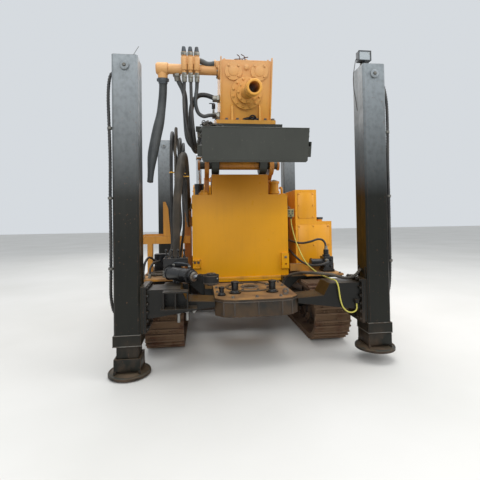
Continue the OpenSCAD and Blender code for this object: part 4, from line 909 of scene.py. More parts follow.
def dressPipe(given):
    bolts = [(given["flangeX"], pipeA + a, pipeB + b) for a, b in ringOf(8, given["flangeBoltR"], 0.2)]
    mastBolts("flangeBolts", bolts, (-1, 0, 0), 0.018, "wornSteel", "head")
    welds = [addRod("pipeWeld", (x, pipeA, pipeB), (x + 0.007, pipeA, pipeB), 0.0505, "headYellow", *onHead,
                    48, 0.003) for x in given["weldX"]]
    capX = given["capX"]
    welds.append(addRod("pipeCap", (capX, pipeA, pipeB), (capX + 0.012, pipeA, pipeB), 0.049, "headYellow",
                        *onHead, 48, 0.004))
    joinPieces("pipeWelds", welds, "head")
    # coupling of the air hose: two rings and two lugs
    low = pipeB - 0.110
    parts = [addRod("couplingRing", (-pipeReach, pipeA, low + start), (-pipeReach, pipeA, low + end),
                    radius, "blueGrey", *onHead, 40, 0.004)
             for start, end, radius in ((-0.012, 0.026, 0.049), (-0.030, -0.010, 0.044))]
    parts += [addBlock("couplingLug", *around((x, pipeA, low + 0.006), (0.008, 0.014, 0.014)), "blueGrey",
                       *onHead, 0.004) for x in (-pipeReach - 0.050, -pipeReach + 0.050)]
    joinPieces("airCoupling", parts, "head")
    tips = []
    for x in portXs:
        for name, start, end, radius, look, sides, soft, tip in (
                ("fittingNut", 0.112, 0.140, 0.031, "zincSteel", 6, 0.002, None),
                ("fittingTip", 0.138, 0.190, 0.024, "blueGrey", 24, 0.006, 0.015),
                ("fittingNut", -0.062, -0.040, 0.025, "zincSteel", 6, 0.002, None)):
            tips.append(addRod(name, (x, portA, pipeB + start), (x, portA, pipeB + end), radius, look,
                               *onHead, sides, soft, tip))
    joinPieces("portFittings", tips, "head")
    # stub and grey hose from the port block round to the gearbox
    a = given["bypassA"]
    sweepTube("bypassHose", [(x, a, b) for x, b in given["bypass"]], 0.026, 20, "hoseGrey", "head", 6,
              mastFrame)
    plate = addBlock("bypassPlate", (-0.290, a - 0.055, 0.985), (-0.250, a + 0.055, 1.046), "headYellow",
                     *onHead)
    collar = addRod("bypassCollar", (-0.302, a, 1.030), (-0.288, a, 1.030), 0.034, "headYellow", *onHead)
    joinPieces("bypassFlange", [plate, collar], "head")
    barrels = []
    for x in portXs:
        barrels.append(addRod("portBarrel", (x, portA - 0.006, pipeB - 0.020),
                              (x, portA - 0.006, pipeB + 0.100), 0.0285, "headYellow", *onHead, 32, 0.007))
        barrels.append(addRod("portNeck", (x, portA, pipeB + 0.100), (x, portA, pipeB + 0.118), 0.021,
                              "headYellow", *onHead, 24))
    joinPieces("portBarrels", barrels, "head")
    # bleed tap above the lower elbow
    x, a = given["tap"]
    tap = [addRod("tapStem", (x, a, 0.56), (x, a, 0.625), 0.010, "zincSteel", *onHead, 16),
           addRod("tapBody", (x, a, 0.605), (x, a, 0.650), 0.018, "greaseBlack", *onHead, 16),
           addBlock("tapLever", (x - 0.043, a - 0.008, 0.650), (x + 0.012, a + 0.008, 0.660), "greaseBlack",
                    *onHead)]
    joinPieces("bleedTap", tap, "head")


dressPipe(pipeSizes)
print("head dressed")


# Legs

legSizes = {"x": 1.03, "rear": 0.10, "front": 2.95, "half": 0.10, "collarTop": 0.334, "collarLow": 0.25,
            "pinZ": 2.44, "plateX": 0.886, "plateLow": 0.365, "plateHigh": 0.688, "bolt": 0.026}
legSpots = [(-1, legSizes["rear"], 0.17), (1, legSizes["rear"], 0.17),
            (-1, legSizes["front"], legSizes["front"]), (1, legSizes["front"], legSizes["front"])]


def dressLeg(side, y, armY, given):
    x, half = side * given["x"], given["half"]
    beads = []
    # light grey beads round the collars: a painted highlight along the weld line
    for z, reach in ((given["collarTop"] + 0.002, half + 0.001),
                     (given["collarLow"] + 0.004, half + 0.006)):
        for turn in (-reach, reach):
            beads.append(addWeld("legWeld", (x - reach, y + turn, z), (x + reach, y + turn, z), 0.003,
                                 "greySteelAndHighlight", "chassis"))
            beads.append(addWeld("legWeld", (x + turn, y - reach, z), (x + turn, y + reach, z), 0.003,
                                 "greySteelAndHighlight", "chassis"))
    joinPieces("legWelds", beads, "chassis")
    turnRing("legPinWasher", (x, y - half - 0.0095, given["pinZ"]), (0, -1, 0),
             [(0.014, 0.0), (0.036, 0.0), (0.036, 0.003), (0.033, 0.005), (0.014, 0.005)], "legBlack",
             "chassis")
    addRod("legPinNut", (x, y - half - 0.010, given["pinZ"]), (x, y - half - 0.024, given["pinZ"]), 0.013,
           "greySteelAndHighlight", "chassis", sides=6)
    low, high, plateX = given["plateLow"], given["plateHigh"], side * given["plateX"]
    edge = [(plateX, armY - 0.136, z) for z in (low, 0.430, 0.495, 0.560, 0.625, high)]
    edge += [(plateX, armY + shift, z) for shift in (-0.065, 0.0, 0.065, 0.115) for z in (low, high)]
    places = [(spot, (-side, 0, 0), given["bolt"], random.uniform(0, 1)) for spot in edge]
    repeatModel("legPlateBolts", boltModel, places, "frameBlack", "chassis")
    gussets = [addBlock("legGusset", *around((x - side * half, y + shift, 0.7525), (0.006, 0.005, 0.0475)),
                        "legBlack", "chassis") for shift in (-0.06, 0.06)]
    joinPieces("legGussets", gussets, "chassis")


for spot in legSpots:
    dressLeg(*spot, legSizes)


footSizes = {"pin": 0.0875, "wall": 0.0965, "wallHalf": 0.1, "post": 0.094, "ribs": (0.085, 0.135)}
footSpots = [("foot_rear_left", -1, 0.10, 0.010), ("foot_rear_right", 1, 0.10, 0.100),
             ("foot_front_left", -1, 2.95, 0.060), ("foot_front_right", 1, 2.95, 0.060)]


def dressFoot(body, side, y, padZ, given):
    # pin with its washer, walls of the box, rim of the pad and its ribs
    x, pinZ, wall = side * legSizes["x"], padZ + given["pin"], given["wall"]
    parts = [addRod("footPin", (x, y - 0.084, pinZ), (x, y - 0.100, pinZ), 0.018, "legBlack", body,
                    sides=24),
             addRod("footPinRing", (x, y - 0.083, pinZ), (x, y - 0.091, pinZ), 0.034, "legBlack", body,
                    sides=32)]
    joinPieces(body + "Pin", parts, body)
    walls = []
    for turn in (-1, 1):
        walls.append(addBlock("footWall", *around((x, y + turn * wall, padZ + 0.099),
                                                  (given["wallHalf"], 0.0055, 0.047)), "legBlack", body,
                              soft=0.002))
        walls.append(addBlock("footWall", *around((x + turn * wall, y, padZ + 0.099),
                                                  (0.0055, given["wallHalf"], 0.047)), "legBlack", body,
                              soft=0.002))
        for shift in (-given["post"], given["post"]):
            walls.append(addBlock("footPost", *around((x + turn * given["post"], y + shift, padZ + 0.037),
                                                      (0.009, 0.009, 0.017)), "legBlack", body, soft=0.002))
    joinPieces(body + "Box", walls, body)
    turnRing(body + "Rim", (x, y, padZ), (0, 0, 1),
             [(0.150, 0.0005), (0.164, 0.0005), (0.1645, 0.014), (0.161, 0.024), (0.152, 0.026),
              (0.149, 0.018)], "padDark", body)
    near, far = given["ribs"]
    ribs = [addRod("footRib", (x + near * u, y + near * v, padZ + 0.034),
                   (x + far * u, y + far * v, padZ + 0.024), 0.009, "legBlack", body, sides=10)
            for u, v in ringOf(4, 1, math.pi / 4)]
    joinPieces(body + "Ribs", ribs, body)


for spot in footSpots:
    dressFoot(*spot, footSizes)

legHose = {"diameter": 0.028, "guard": 0.024, "clips": (1.950, 1.400, 0.850),
           "route": [(1.134, 0.110, 2.420), (1.152, 0.105, 2.415), (1.168, 0.090, 2.350),
                     (1.168, 0.055, 2.200), (1.156, 0.030, 1.950), (1.150, 0.028, 1.700),
                     (1.152, 0.030, 1.400), (1.150, 0.030, 1.100), (1.152, 0.035, 0.850),
                     (1.164, 0.075, 0.640), (1.160, 0.120, 0.520), (1.150, 0.155, 0.475),
                     (1.134, 0.165, 0.460)]}
for side in (-1, 1):
    route = [(side * x, y, z) for x, y, z in legHose["route"]]
    layHose("legHose", route, legHose["diameter"], "chassis", "hoseBlack", guard=legHose["guard"], sides=12)
    for z in legHose["clips"]:
        turnRing("legHoseClip", (side * 1.152, 0.031, z - 0.009), (0, 0, 1),
                 [(0.0145, 0), (0.0190, 0), (0.0190, 0.018), (0.0145, 0.018)], "greySteelAndHighlight", "chassis",
                 sides=24)
legWire = [(-1.000, 0.085, 2.528), (-0.998, 0.080, 2.548), (-0.985, 0.070, 2.556), (-0.975, 0.062, 2.552),
           (-0.955, 0.052, 2.575), (-0.925, 0.035, 2.612)]
sweepTube("legWire", legWire, 0.0022, 6, "greySteelAndHighlight", "chassis", 6)
print("legs dressed")

# Lamp with its wire

lampSizes = {"low": (0.915, 0.040, 2.570), "high": (1.025, 0.090, 2.655), "rim": 0.007, "fins": 7}


def dressLamp(given):
    (x0, y0, z0), (x1, y1, z1), rim = given["low"], given["high"], given["rim"]
    sides = [(x0 - 0.003, z0 - 0.002, x1 + 0.003, z0 + rim), (x0 - 0.003, z1 - rim, x1 + 0.003, z1 + 0.002),
             (x0 - 0.003, z0, x0 + rim, z1), (x1 - rim, z0, x1 + 0.003, z1)]
    bars = [addBlock("lampRim", (left, y0 - 0.008, low), (right, y0 + 0.002, high), "lampPlastic",
                     "chassis") for left, low, right, high in sides]
    for k in range(given["fins"]):
        x = x0 + 0.012 + k * 0.0145
        bars.append(addBlock("lampFin", (x, y1 - 0.002, z0 + 0.010), (x + 0.004, y1 + 0.014, z1 - 0.010),
                             "lampPlastic", "chassis", soft=0.001))
    joinPieces("lampHousing", bars, "chassis")
    addBlock("lampGlass", (x0 + rim, y0 - 0.003, z0 + rim), (x1 - rim, y0 - 0.001, z1 - rim), "lampGlass",
             "chassis", soft=0)
    addRod("lampKnob", (0.950, 0.085, 2.560), (0.990, 0.085, 2.560), 0.009, "zincSteel", "chassis", sides=6)


dressLamp(lampSizes)
lampWire = [(0.917, 0.080, 2.600), (0.905, 0.075, 2.590), (0.885, 0.060, 2.520), (0.868, 0.050, 2.430),
            (0.872, 0.055, 2.330), (0.895, 0.070, 2.240), (0.915, 0.095, 2.180), (0.926, 0.110, 2.160)]
layHose("lampWire", lampWire, 0.006, "chassis", "hoseBlack", sides=8)

# Tank

tankSizes = {"front": 1.15, "x": 0.55, "lipZ": 0.545, "shoulder": 1.51, "filterX": 0.41, "filterY": 1.216,
             "elbow": ((1.215, 1.510), (1.215, 1.545), (1.218, 1.575), (1.240, 1.592), (1.275, 1.596),
                       (1.300, 1.596))}


def dressTank(given):
    front, half, lipZ = given["front"], given["x"], given["lipZ"]
    beads = [addWeld("tankWeld", (-half, front - 0.003, lipZ + 0.003), (half, front - 0.003, lipZ + 0.003),
                     0.005, "tankYellow", "chassis")]
    beads += [addWeld("tankWeld", (x, front + 0.01, 1.512), (x, front + 0.39, 1.512), 0.005, "tankYellow",
                      "chassis") for x in (-0.326, 0.326)]
    joinPieces("tankWelds", beads, "chassis")
    addBlock("tankFoot", (-half - 0.008, front - 0.024, lipZ), (half + 0.008, front + 0.001, lipZ + 0.030),
             "bodyYellow", "chassis")
    lug = [addBlock("tankLug", (start - half, front - 0.034, low), (0.093 - half, front - 0.020, high),
                    "tankYellow", "chassis", soft=0.001)
           for start, low, high in ((0.001, 0.682, 0.696), (0.081, 0.682, 0.779), (0.001, 0.766, 0.779))]
    joinPieces("tankLug", lug, "chassis")
    spots = [((-0.525, front - 0.020, 0.748), 0.020), ((-0.485, front - 0.020, 0.748), 0.020),
             ((0.510, front - 0.036, 0.785), 0.022)]
    repeatModel("tankLugBolts", boltModel, [(spot, (0, -1, 0), size, 0.3) for spot, size in spots],
                "wornSteel", "chassis")
    x, y, z = given["filterX"], given["filterY"], given["shoulder"]
    ring = [(x + u, y + v, z + 0.152) for u, v in ringOf(6, 0.054)]
    ring += [(x + u, y + v, z + 0.036) for u, v in ringOf(6, 0.055, 0.4)]
    repeatModel("filterBolts", boltModel, [(spot, (0, 0, 1), 0.012, 0.2) for spot in ring], "tankYellow",
                "chassis")
    top = [addRod("filterStud", (x, y, z + 0.150), (x, y, z + 0.176), 0.009, "zincSteel", "chassis",
                  sides=12),
           addBlock("filterWing", *around((x, y, z + 0.166), (0.030, 0.005, 0.006)), "zincSteel",
                    "chassis")]
    joinPieces("filterNut", top, "chassis")
    sweepTube("shoulderElbow", [(0.500, *at) for at in given["elbow"]], 0.014, 16, "tankYellow", "chassis",
              6)
    addRod("elbowFlange", (0.500, 1.215, 1.510), (0.500, 1.215, 1.522), 0.030, "tankYellow", "chassis")
    grip = [addRod("lidGrip", (-x - 0.035, y, z + 0.052), (-x + 0.035, y, z + 0.052), 0.006, "tankYellow",
                   "chassis", sides=12)]
    grip += [addRod("lidPost", (-x + shift, y, z + 0.038), (-x + shift, y, z + 0.054), 0.006, "tankYellow",
                    "chassis", sides=12) for shift in (-0.032, 0.032)]
    grip.append(addBlock("lidHinge", *around((-x, y + 0.0625, z + 0.025), (0.025, 0.0125, 0.007)),
                         "tankYellow", "chassis"))
    joinPieces("fillerGrip", grip, "chassis")


dressTank(tankSizes)

# Table and its posts

tableSizes = {"top": 0.58, "holeY": 0.5, "boltR": 0.180, "eye": (0.255, 0.115),
              "edge": ((-0.345, 0.075), (-0.2785, 0.004), (-0.193, -0.020), (0.193, -0.020),
                       (0.2785, 0.004), (0.345, 0.075)),
              "ribs": ((-0.193, -0.020), (0.193, -0.020), (-0.2785, 0.004), (0.2785, 0.004), (0.0, -0.020)),
              "posts": ((-0.165, 0.24, 0.030, 0.100), (0.165, 0.24, 0.030, 0.100),
                        (-0.285, 0.17, 0.020, 0.070))}


def dressTable(given):
    top, y = given["top"], given["holeY"]
    turnRing("tableRing", (0, y, top), (0, 0, 1),
             [(0.2035, -0.001), (0.2300, -0.001), (0.2300, 0.007), (0.2260, 0.010), (0.2075, 0.010),
              (0.2035, 0.007)], "skirtBlack", "chassis")
    turnRing("pipeRing", (0, y, top), (0, 0, 1),
             [(0.0605, -0.001), (0.0860, -0.001), (0.0860, 0.004), (0.0830, 0.007), (0.0640, 0.007),
              (0.0605, 0.004)], "wornSteel", "chassis")
    spots = [(u, y + v, top) for u, v in ringOf(8, given["boltR"], 0.3)]
    spots += [(x, 0.055, top) for x in (-0.20, 0.0, 0.20)]
    spots += [(x, along, top) for x in (-0.315, 0.315) for along in (0.30, 0.50, 0.68)]
    repeatModel("tableBolts", boltModel, [(spot, (0, 0, 1), 0.024, random.uniform(0, 1)) for spot in spots],
                "wornSteel", "chassis")
    edge = given["edge"]
    beads = [addWeld("tableWeld", (*a, top - 0.023), (*b, top - 0.023), 0.0055, "skirtBlack", "chassis")
             for a, b in zip(edge, edge[1:])]
    for x, y0 in given["ribs"]:
        beads.append(addBlock("tableRib", (x - 0.006, y0 - 0.006, 0.452), (x + 0.006, y0 + 0.004, 0.556),
                              "skirtBlack", "chassis"))
    joinPieces("tableSkirtRibs", beads, "chassis")
    x, y0 = given["eye"]
    eye = [turnRing("tableEye", (x, y0, top + 0.026), (0, 1, 0),
                    [(0.013, -0.006), (0.027, -0.006), (0.027, 0.006), (0.013, 0.006)],
                    "wornSteel", "chassis", sides=32),
           addRod("tableEyeFoot", (x, y0, top), (x, y0, top + 0.006), 0.021, "wornSteel", "chassis")]
    joinPieces("tableEye", eye, "chassis")
    for x, y0, r, high in given["posts"]:
        turnRing("postCap", (x, y0, top + high), (0, 0, 1),
                 [(r * 0.3, -0.001), (r + 0.005, -0.014), (r + 0.006, -0.002), (r + 0.002, 0.004),
                  (r * 0.3, 0.004)], "greaseBlack", "chassis", sides=40)
        turnRing("postCollar", (x, y0, top + 0.012), (0, 0, 1),
                 [(r, -0.001), (r + 0.010, -0.001), (r + 0.008, 0.008), (r, 0.014)], "greaseBlack",
                 "chassis", sides=40)


dressTable(tableSizes)
lowBolts = [((-0.640, 0.10, 0.476), 0.085), ((-0.570, 0.10, 0.485), 0.080), ((-0.515, 0.10, 0.492), 0.030)]
for (x, y, z), drop in lowBolts:
    stud = addRod("lowStud", (x, y, z), (x, y, z - drop), 0.012, "bareSteel", "chassis", sides=16)
    nut = addRod("lowNut", (x, y, z), (x, y, z - 0.018), 0.018, "bareSteel", "chassis", sides=6)
    joinPieces("lowBolt", [stud, nut], "chassis")
print("tank and table dressed")

# Breakout cylinder

breakFrame = rigFrame @ Matrix.Translation([breakSizes[axis] for axis in "xyz"])
breakFrame = breakFrame @ Matrix.Rotation(breakSizes["turn"], 4, "Z")
onBarrel, onRod = ("breakout_barrel", breakFrame), ("breakout_rod", breakFrame)


def dressBreakout(given):
    # measured from the pivot along the cylinder
    r, eye = given["r"], given["eye"]
    for at, more in ((-0.100, 0.005), (0.172, 0.007), (0.080, 0.003)):
        turnRing("barrelBand", (at, 0, 0), (1, 0, 0),
                 [(r - 0.002, 0), (r + more, 0.002), (r + more, 0.014), (r - 0.002, 0.016)],
                 "greaseBlack", *onBarrel)
    turnRing("barrelGland", (0.2252, 0, 0), (1, 0, 0),
             [(0.0215, 0), (0.040, 0), (0.040, 0.010), (0.030, 0.014), (0.0215, 0.014)], "wornSteel",
             *onBarrel)
    for at in (-0.070, 0.150):
        port = [addRod("barrelPort", (at, 0.020, r - 0.012), (at, 0.020, r + 0.016), 0.015, "greaseBlack",
                       *onBarrel, 24),
                addRod("barrelPortNut", (at, 0.020, r + 0.010), (at, 0.020, r + 0.024), 0.014, "zincSteel",
                       *onBarrel, 6)]
        joinPieces("barrelPort", port, "breakout_barrel")
    line = [(-0.070, 0.020, r + 0.022), (-0.055, 0.022, r + 0.034), (-0.010, 0.024, r + 0.038),
            (0.090, 0.024, r + 0.038), (0.135, 0.022, r + 0.034), (0.150, 0.020, r + 0.022)]
    sweepTube("barrelLine", line, 0.006, 10, "blueGrey", "breakout_barrel", 6, breakFrame)
    for turn in (-1, 1):
        turnRing("eyeRim", (eye, 0, turn * 0.042), (0, 0, turn),
                 [(0.0205, -0.001), (0.038, -0.001), (0.035, 0.005), (0.0205, 0.006)], "skirtBlack", *onRod)
    rings = [turnRing("eyeBand", (eye, 0, z), (0, 0, 1),
                      [(0.0615, 0.0), (0.0635, 0.002), (0.0635, 0.007), (0.0615, 0.009)],
                      "skirtBlack", *onRod) for z in (-0.034, 0.024)]
    joinPieces("eyeBands", rings, "breakout_rod")
    addRod("greaseNipple", (eye + 0.060, 0, 0.01), (eye + 0.074, 0, 0.012), 0.005, "zincSteel", *onRod, 12)


dressBreakout(breakSizes)

# Hoses and fittings at the left deck

deckHoses = {
    "bankHoseA": [(-0.985, 1.336, 0.755), (-0.985, 1.300, 0.757), (-0.998, 1.190, 0.800),
                  (-1.020, 1.070, 0.825), (-1.042, 0.960, 0.780), (-1.050, 0.915, 0.700),
                  (-1.050, 0.910, 0.642)],
    "bankHoseB": [(-0.940, 1.336, 0.755), (-0.941, 1.300, 0.754), (-0.950, 1.190, 0.765),
                  (-0.972, 1.070, 0.760), (-0.990, 0.985, 0.720), (-0.995, 0.960, 0.642)],
}
for name, route in deckHoses.items():
    layHose(name, route, 0.024, "chassis", "hoseBlack", sides=12)
    crimp(name + "Foot", (route[-1][0], route[-1][1], 0.620), (0, 0, 1), 0.024, "chassis", 0.045)
coil = {"middle": (-0.895, 1.185), "radius": (0.085, 0.135), "turns": 2.6, "z": 0.6345, "d": 0.027}


def deckCoil(given):
    # a spare hose left in flat turns on the deck
    route = []
    steps = round(given["turns"] * 12)
    near, far = given["radius"]
    for i in range(steps + 1):
        share = i / steps
        turn = 2 * math.pi * given["turns"] * share + 0.6
        radius = near + (far - near) * share
        route.append((given["middle"][0] + radius * math.cos(turn),
                      given["middle"][1] + radius * math.sin(turn), given["z"]))
    return route


sweepTube("deckCoil", deckCoil(coil), coil["d"] / 2, 12, "hoseOld", "chassis", 3)

# Hoses of the valve on the right

rightHoses = {
    "sideHoseTop": [(0.600, 1.568, 0.970), (0.600, 1.500, 0.970), (0.606, 1.320, 0.964),
                    (0.640, 1.180, 0.948), (0.710, 1.100, 0.942), (0.790, 1.055, 0.960),
                    (0.865, 1.045, 0.985), (0.925, 1.048, 0.975), (0.958, 1.050, 0.930),
                    (0.965, 1.050, 0.868)],
    "sideHoseLow": [(0.600, 1.568, 0.860), (0.600, 1.480, 0.860), (0.604, 1.300, 0.845),
                    (0.622, 1.160, 0.800), (0.675, 1.040, 0.735), (0.750, 0.950, 0.705),
                    (0.840, 0.890, 0.712), (0.905, 0.880, 0.735), (0.935, 0.915, 0.748),
                    (0.937, 0.964, 0.750)],
}
for name, route in rightHoses.items():
    layHose(name, route, 0.024, "chassis", "hoseBlack", sides=12)
    crimp(name + "Foot", route[0], (0, -1, 0), 0.024, "chassis", 0.045)
crimp("sideTopCrimp", (0.965, 1.050, 0.865), (0, 0, 1), 0.026, "chassis", 0.040)
crimp("sideLowCrimp", (0.937, 0.966, 0.750), (0, -1, 0), 0.026, "chassis", 0.035)
armHose = [(0.400, 0.820, 0.528), (0.402, 0.815, 0.560), (0.420, 0.740, 0.620), (0.455, 0.580, 0.675),
           (0.500, 0.400, 0.712), (0.560, 0.270, 0.726), (0.620, 0.205, 0.728), (0.680, 0.180, 0.724),
           (0.740, 0.165, 0.706), (0.800, 0.150, 0.694), (0.850, 0.140, 0.700), (0.890, 0.130, 0.724),
           (0.915, 0.124, 0.755), (0.928, 0.120, 0.775)]
layHose("armHose", armHose, 0.030, "chassis", "hoseOld", guard=0.018, sides=12)
print("side hoses laid")

# Ties round the bundle of hoses


def tieBand(name, at, radius, body):
    ring = turnRing(name, at, (0, 0.1, 1), [(radius, 0), (radius + 0.003, 0), (radius + 0.003, 0.012),
                                            (radius, 0.012)], "tieYellow", body, sides=32)
    tail = addBlock(name + "Tail", (at[0] + radius - 0.004, at[1] - 0.003, at[2] + 0.002),
                    (at[0] + radius + 0.050, at[1] + 0.000, at[2] + 0.012), "tieYellow", body, soft=0.001)
    joinPieces(name, [ring, tail], body)


tieBand("hoseTie", (-0.742, 0.765, 1.700), 0.018, "chassis")
tieBand("hoseTie", (-0.664, 0.765, 1.690), 0.018, "chassis")
tieBand("hoseTie", (-0.626, 0.765, 1.660), 0.014, "chassis")

# Pendant control

pendantSizes = {"low": (0.550, 1.160, 1.245), "high": (0.628, 1.220, 1.330),
                "knobs": ((0.570, 1.310), (0.608, 1.310), (0.570, 1.285), (0.608, 1.285), (0.589, 1.263)),
                "hook": ((0.589, 0.004), (0.589, 0.020), (0.575, 0.034), (0.560, 0.026), (0.552, 0.010))}


def dressPendant(given):
    (x0, y0, z0), (x1, y1, z1) = given["low"], given["high"]
    parts = [addBlock("pendantFace", (x0 + 0.006, y0 - 0.006, z0 + 0.006),
                      (x1 - 0.006, y0 + 0.001, z1 - 0.006), "khakiPlastic", "chassis"),
             addBlock("pendantHood", (x0 - 0.002, y0 - 0.010, z1 - 0.008),
                      (x1 + 0.002, y1 + 0.002, z1 + 0.006), "khakiPlastic", "chassis")]
    joinPieces("pendantCover", parts, "chassis")
    knobs = [addRod("pendantKnob", (x, y0 - 0.006, z), (x, y0 - 0.014, z), 0.0085, "lampPlastic", "chassis",
                    sides=20) for x, z in given["knobs"]]
    knobs.append(addRod("pendantRelief", (0.600, 1.190, 1.246), (0.600, 1.190, 1.226), 0.012, "lampPlastic",
                        "chassis", sides=20))
    joinPieces("pendantKnobs", knobs, "chassis")
    hook = [(x, y1 - 0.03, z1 + up) for x, up in given["hook"]]
    sweepTube("pendantHook", hook, 0.003, 8, "zincSteel", "chassis", 6)


dressPendant(pendantSizes)
print("fittings dressed")

# Mast

mastSizes = {"pinCover": 0.0515, "foot": -1.244, "footBoltX": 0.436, "lineX": 0.268,
             "lineB": (0.166, 0.186), "lineEnds": (-0.76, 3.55), "clips": 9, "clipStep": 0.5,
             "weldB": (0.1655, 0.4255), "edgeX": 0.4345, "edgeB": 0.4265, "boltA": (-1.20, -0.86),
             "boltB": (0.36, 0.40)}


def dressMast(given):
    cover, near, lineX = given["pinCover"], given["foot"], given["lineX"]
    # the pin's sleeve and ends take the darker yellow: painted shade under the head
    turnRing("pinSleeve", (-0.232, 0, 0), (1, 0, 0),
             [(0.0455, 0), (cover, 0.002), (cover, 0.462), (0.0455, 0.464)], "shadedPostYellow", *onGirder)
    for side in (-1, 1):
        turnRing("pinEnd", (side * 0.452, 0, 0), (side, 0, 0),
                 [(0.012, 0.028), (0.045, 0.028), (0.058, 0.026), (0.058, 0.002), (0.0455, 0.0),
                  (0.0455, 0.020)], "shadedPostYellow", *onGirder)
    for side in (-1, 1):
        bolts = [(side * given["footBoltX"], a, b) for a in given["boltA"] for b in given["boltB"]]
        mastBolts("footSideBolts", bolts, (side, 0, 0), 0.020, "mastBlack", "mast")
    welds = [addWeld("footWeld", (-0.434, near - 0.001, b), (0.434, near - 0.001, b), 0.003, "mastBlack",
                     *onGirder) for b in given["weldB"]]
    joinPieces("footWelds", welds, "mast")
    edgeX, edgeB = given["edgeX"], given["edgeB"]
    worn = [addRod("wornEdge", (-0.430, near + 0.0015, edgeB), (0.430, near + 0.0015, edgeB), 0.0022,
                   "bareSteel", *onGirder, 6, 0)]
    worn += [addRod("wornEdge", (x, near + 0.02, edgeB - 0.0003), (x, near + 0.40, edgeB - 0.0003), 0.0018,
                    "bareSteel", *onGirder, 6, 0) for x in (-edgeX, edgeX)]
    joinPieces("wornEdges", worn, "mast")
    start, end = given["lineEnds"]
    lines = []
    for x in (-lineX, lineX):
        lines += [addRod("mastLine", (x, start, b), (x, end, b), 0.0075, "blueGrey", *onGirder, 12)
                  for b in given["lineB"]]
        for k in range(given["clips"]):
            a = start + 0.16 + k * given["clipStep"]
            lines.append(addBlock("lineClip", (x - 0.013, a, 0.156), (x + 0.011, a + 0.025, 0.196),
                                  "blueGrey", *onGirder, 0.002))
    joinPieces("mastLines", lines, "mast")


dressMast(mastSizes)


def greaseLumps(given):
    # lumps of grease and a dropped shackle on the gearbox's foot
    for i, (x, a, b, size) in enumerate(given):
        dropSelection()
        bpy.ops.mesh.primitive_ico_sphere_add(subdivisions=3, radius=1)
        piece = bpy.context.active_object
        piece.name = "greaseLump%d" % i
        for vertex in piece.data.vertices:
            here = vertex.co
            here *= 1 + 0.22 * math.sin(4.1 * here.x + i) * math.cos(3.3 * here.y + 2 * i)
            vertex.co = (x + here.x * size * 1.7, a + here.y * size * 0.8, b + here.z * size * 0.75)
        settle(piece, mastFrame, "greaseBlack", "head", 60)
    bow = [(0.030, -0.600, 0.506), (0.035, -0.606, 0.530), (0.060, -0.606, 0.545), (0.088, -0.604, 0.532),
           (0.092, -0.598, 0.506)]
    sweepTube("shackleBow", bow, 0.007, 10, "greaseBlack", "head", 6, mastFrame)


greaseLumps([(0.020, -0.585, 0.512, 0.022), (0.062, -0.583, 0.514, 0.026), (0.100, -0.588, 0.508, 0.016),
             (-0.018, -0.590, 0.506, 0.012)])


def rubberScraps(given):
    # torn rubber and wire ends left on the left corner of the foot box
    for i, (x, a, wide, long, lift, turn) in enumerate(given):
        cells = 8
        points = []
        for u in range(cells + 1):
            for v in range(cells + 1):
                s, t = u / cells - 0.5, v / cells - 0.5
                rise = lift * (0.6 + math.sin(5 * s + 2 * i) * 0.4 + math.sin(7 * t + i) * 0.35)
                along = Vector((s * wide, t * long, 0))
                along.rotate(Matrix.Rotation(turn, 3, "Z"))
                points.append((x + along.x, a + along.y, 0.429 + 0.0025 * i + max(0.0, rise)))
        row = cells + 1
        faces = [(u * row + v, (u + 1) * row + v, (u + 1) * row + v + 1, u * row + v + 1)
                 for u in range(cells) for v in range(cells)]
        piece = fromPoints("rubberScrap%d" % i, points, faces)
        pick(piece)
        thick = piece.modifiers.new("thick", "SOLIDIFY")
        thick.thickness = 0.004
        thick.offset = 1
        bpy.ops.object.modifier_apply(modifier="thick")
        settle(piece, mastFrame, "hoseOld", "mast", 50)


rubberScraps([(-0.375, -1.195, 0.10, 0.07, 0.012, 0.3), (-0.395, -1.160, 0.07, 0.10, 0.018, -0.5),
              (-0.345, -1.180, 0.08, 0.05, 0.022, 0.9), (-0.405, -1.205, 0.05, 0.06, 0.026, 0.1)])
scrapWires = [
    [(-0.42, -1.20, 0.430), (-0.43, -1.215, 0.452), (-0.40, -1.225, 0.462), (-0.36, -1.215, 0.448)],
    [(-0.39, -1.17, 0.432), (-0.41, -1.20, 0.470), (-0.43, -1.22, 0.466), (-0.432, -1.235, 0.440)],
    [(-0.34, -1.16, 0.431), (-0.31, -1.19, 0.446), (-0.28, -1.20, 0.440), (-0.26, -1.21, 0.431)],
]
for i, route in enumerate(scrapWires):
    sweepTube("scrapWire%d" % i, route, 0.0035, 8, "hoseBlack", "mast", 6, mastFrame)
print("mast dressed")

# Tracks: bolts on the shoes

trackSizes = {"idlerY": 0.70, "driveY": 2.44, "z": 0.28, "shoeR": 0.26, "count": 44, "x": 0.62,
              "across": (0.085, 0.125, 0.225, 0.265), "bolt": 0.019, "shift": -0.12}


def alongTrack(share, given):
    # a point on the shoes' face with the way that it faces
    straight = given["driveY"] - given["idlerY"]
    arc = math.pi * given["shoeR"]
    s = (share % 1.0) * 2 * (straight + arc)
    r, z = given["shoeR"], given["z"]
    if s < straight:
        return (given["idlerY"] + s, z + r), (0, 0, 1)
    if s < straight + arc:
        turn = (s - straight) / r
        way = (0, math.sin(turn), math.cos(turn))
        return (given["driveY"] + r * way[1], z + r * way[2]), way
    if s < 2 * straight + arc:
        return (given["driveY"] - (s - straight - arc), z - r), (0, 0, -1)
    turn = (s - 2 * straight - arc) / r
    way = (0, -math.sin(turn), -math.cos(turn))
    return (given["idlerY"] + r * way[1], z + r * way[2]), way


for side in (-1, 1):
    places = []
    for i in range(trackSizes["count"]):
        (y, z), way = alongTrack((i + trackSizes["shift"]) / trackSizes["count"], trackSizes)
        for across in trackSizes["across"]:
            places.append(((side * (trackSizes["x"] + across), y, z), way, trackSizes["bolt"], 0.2))
    repeatModel("shoeBolts", boltModel, places, "trackRust", "chassis")


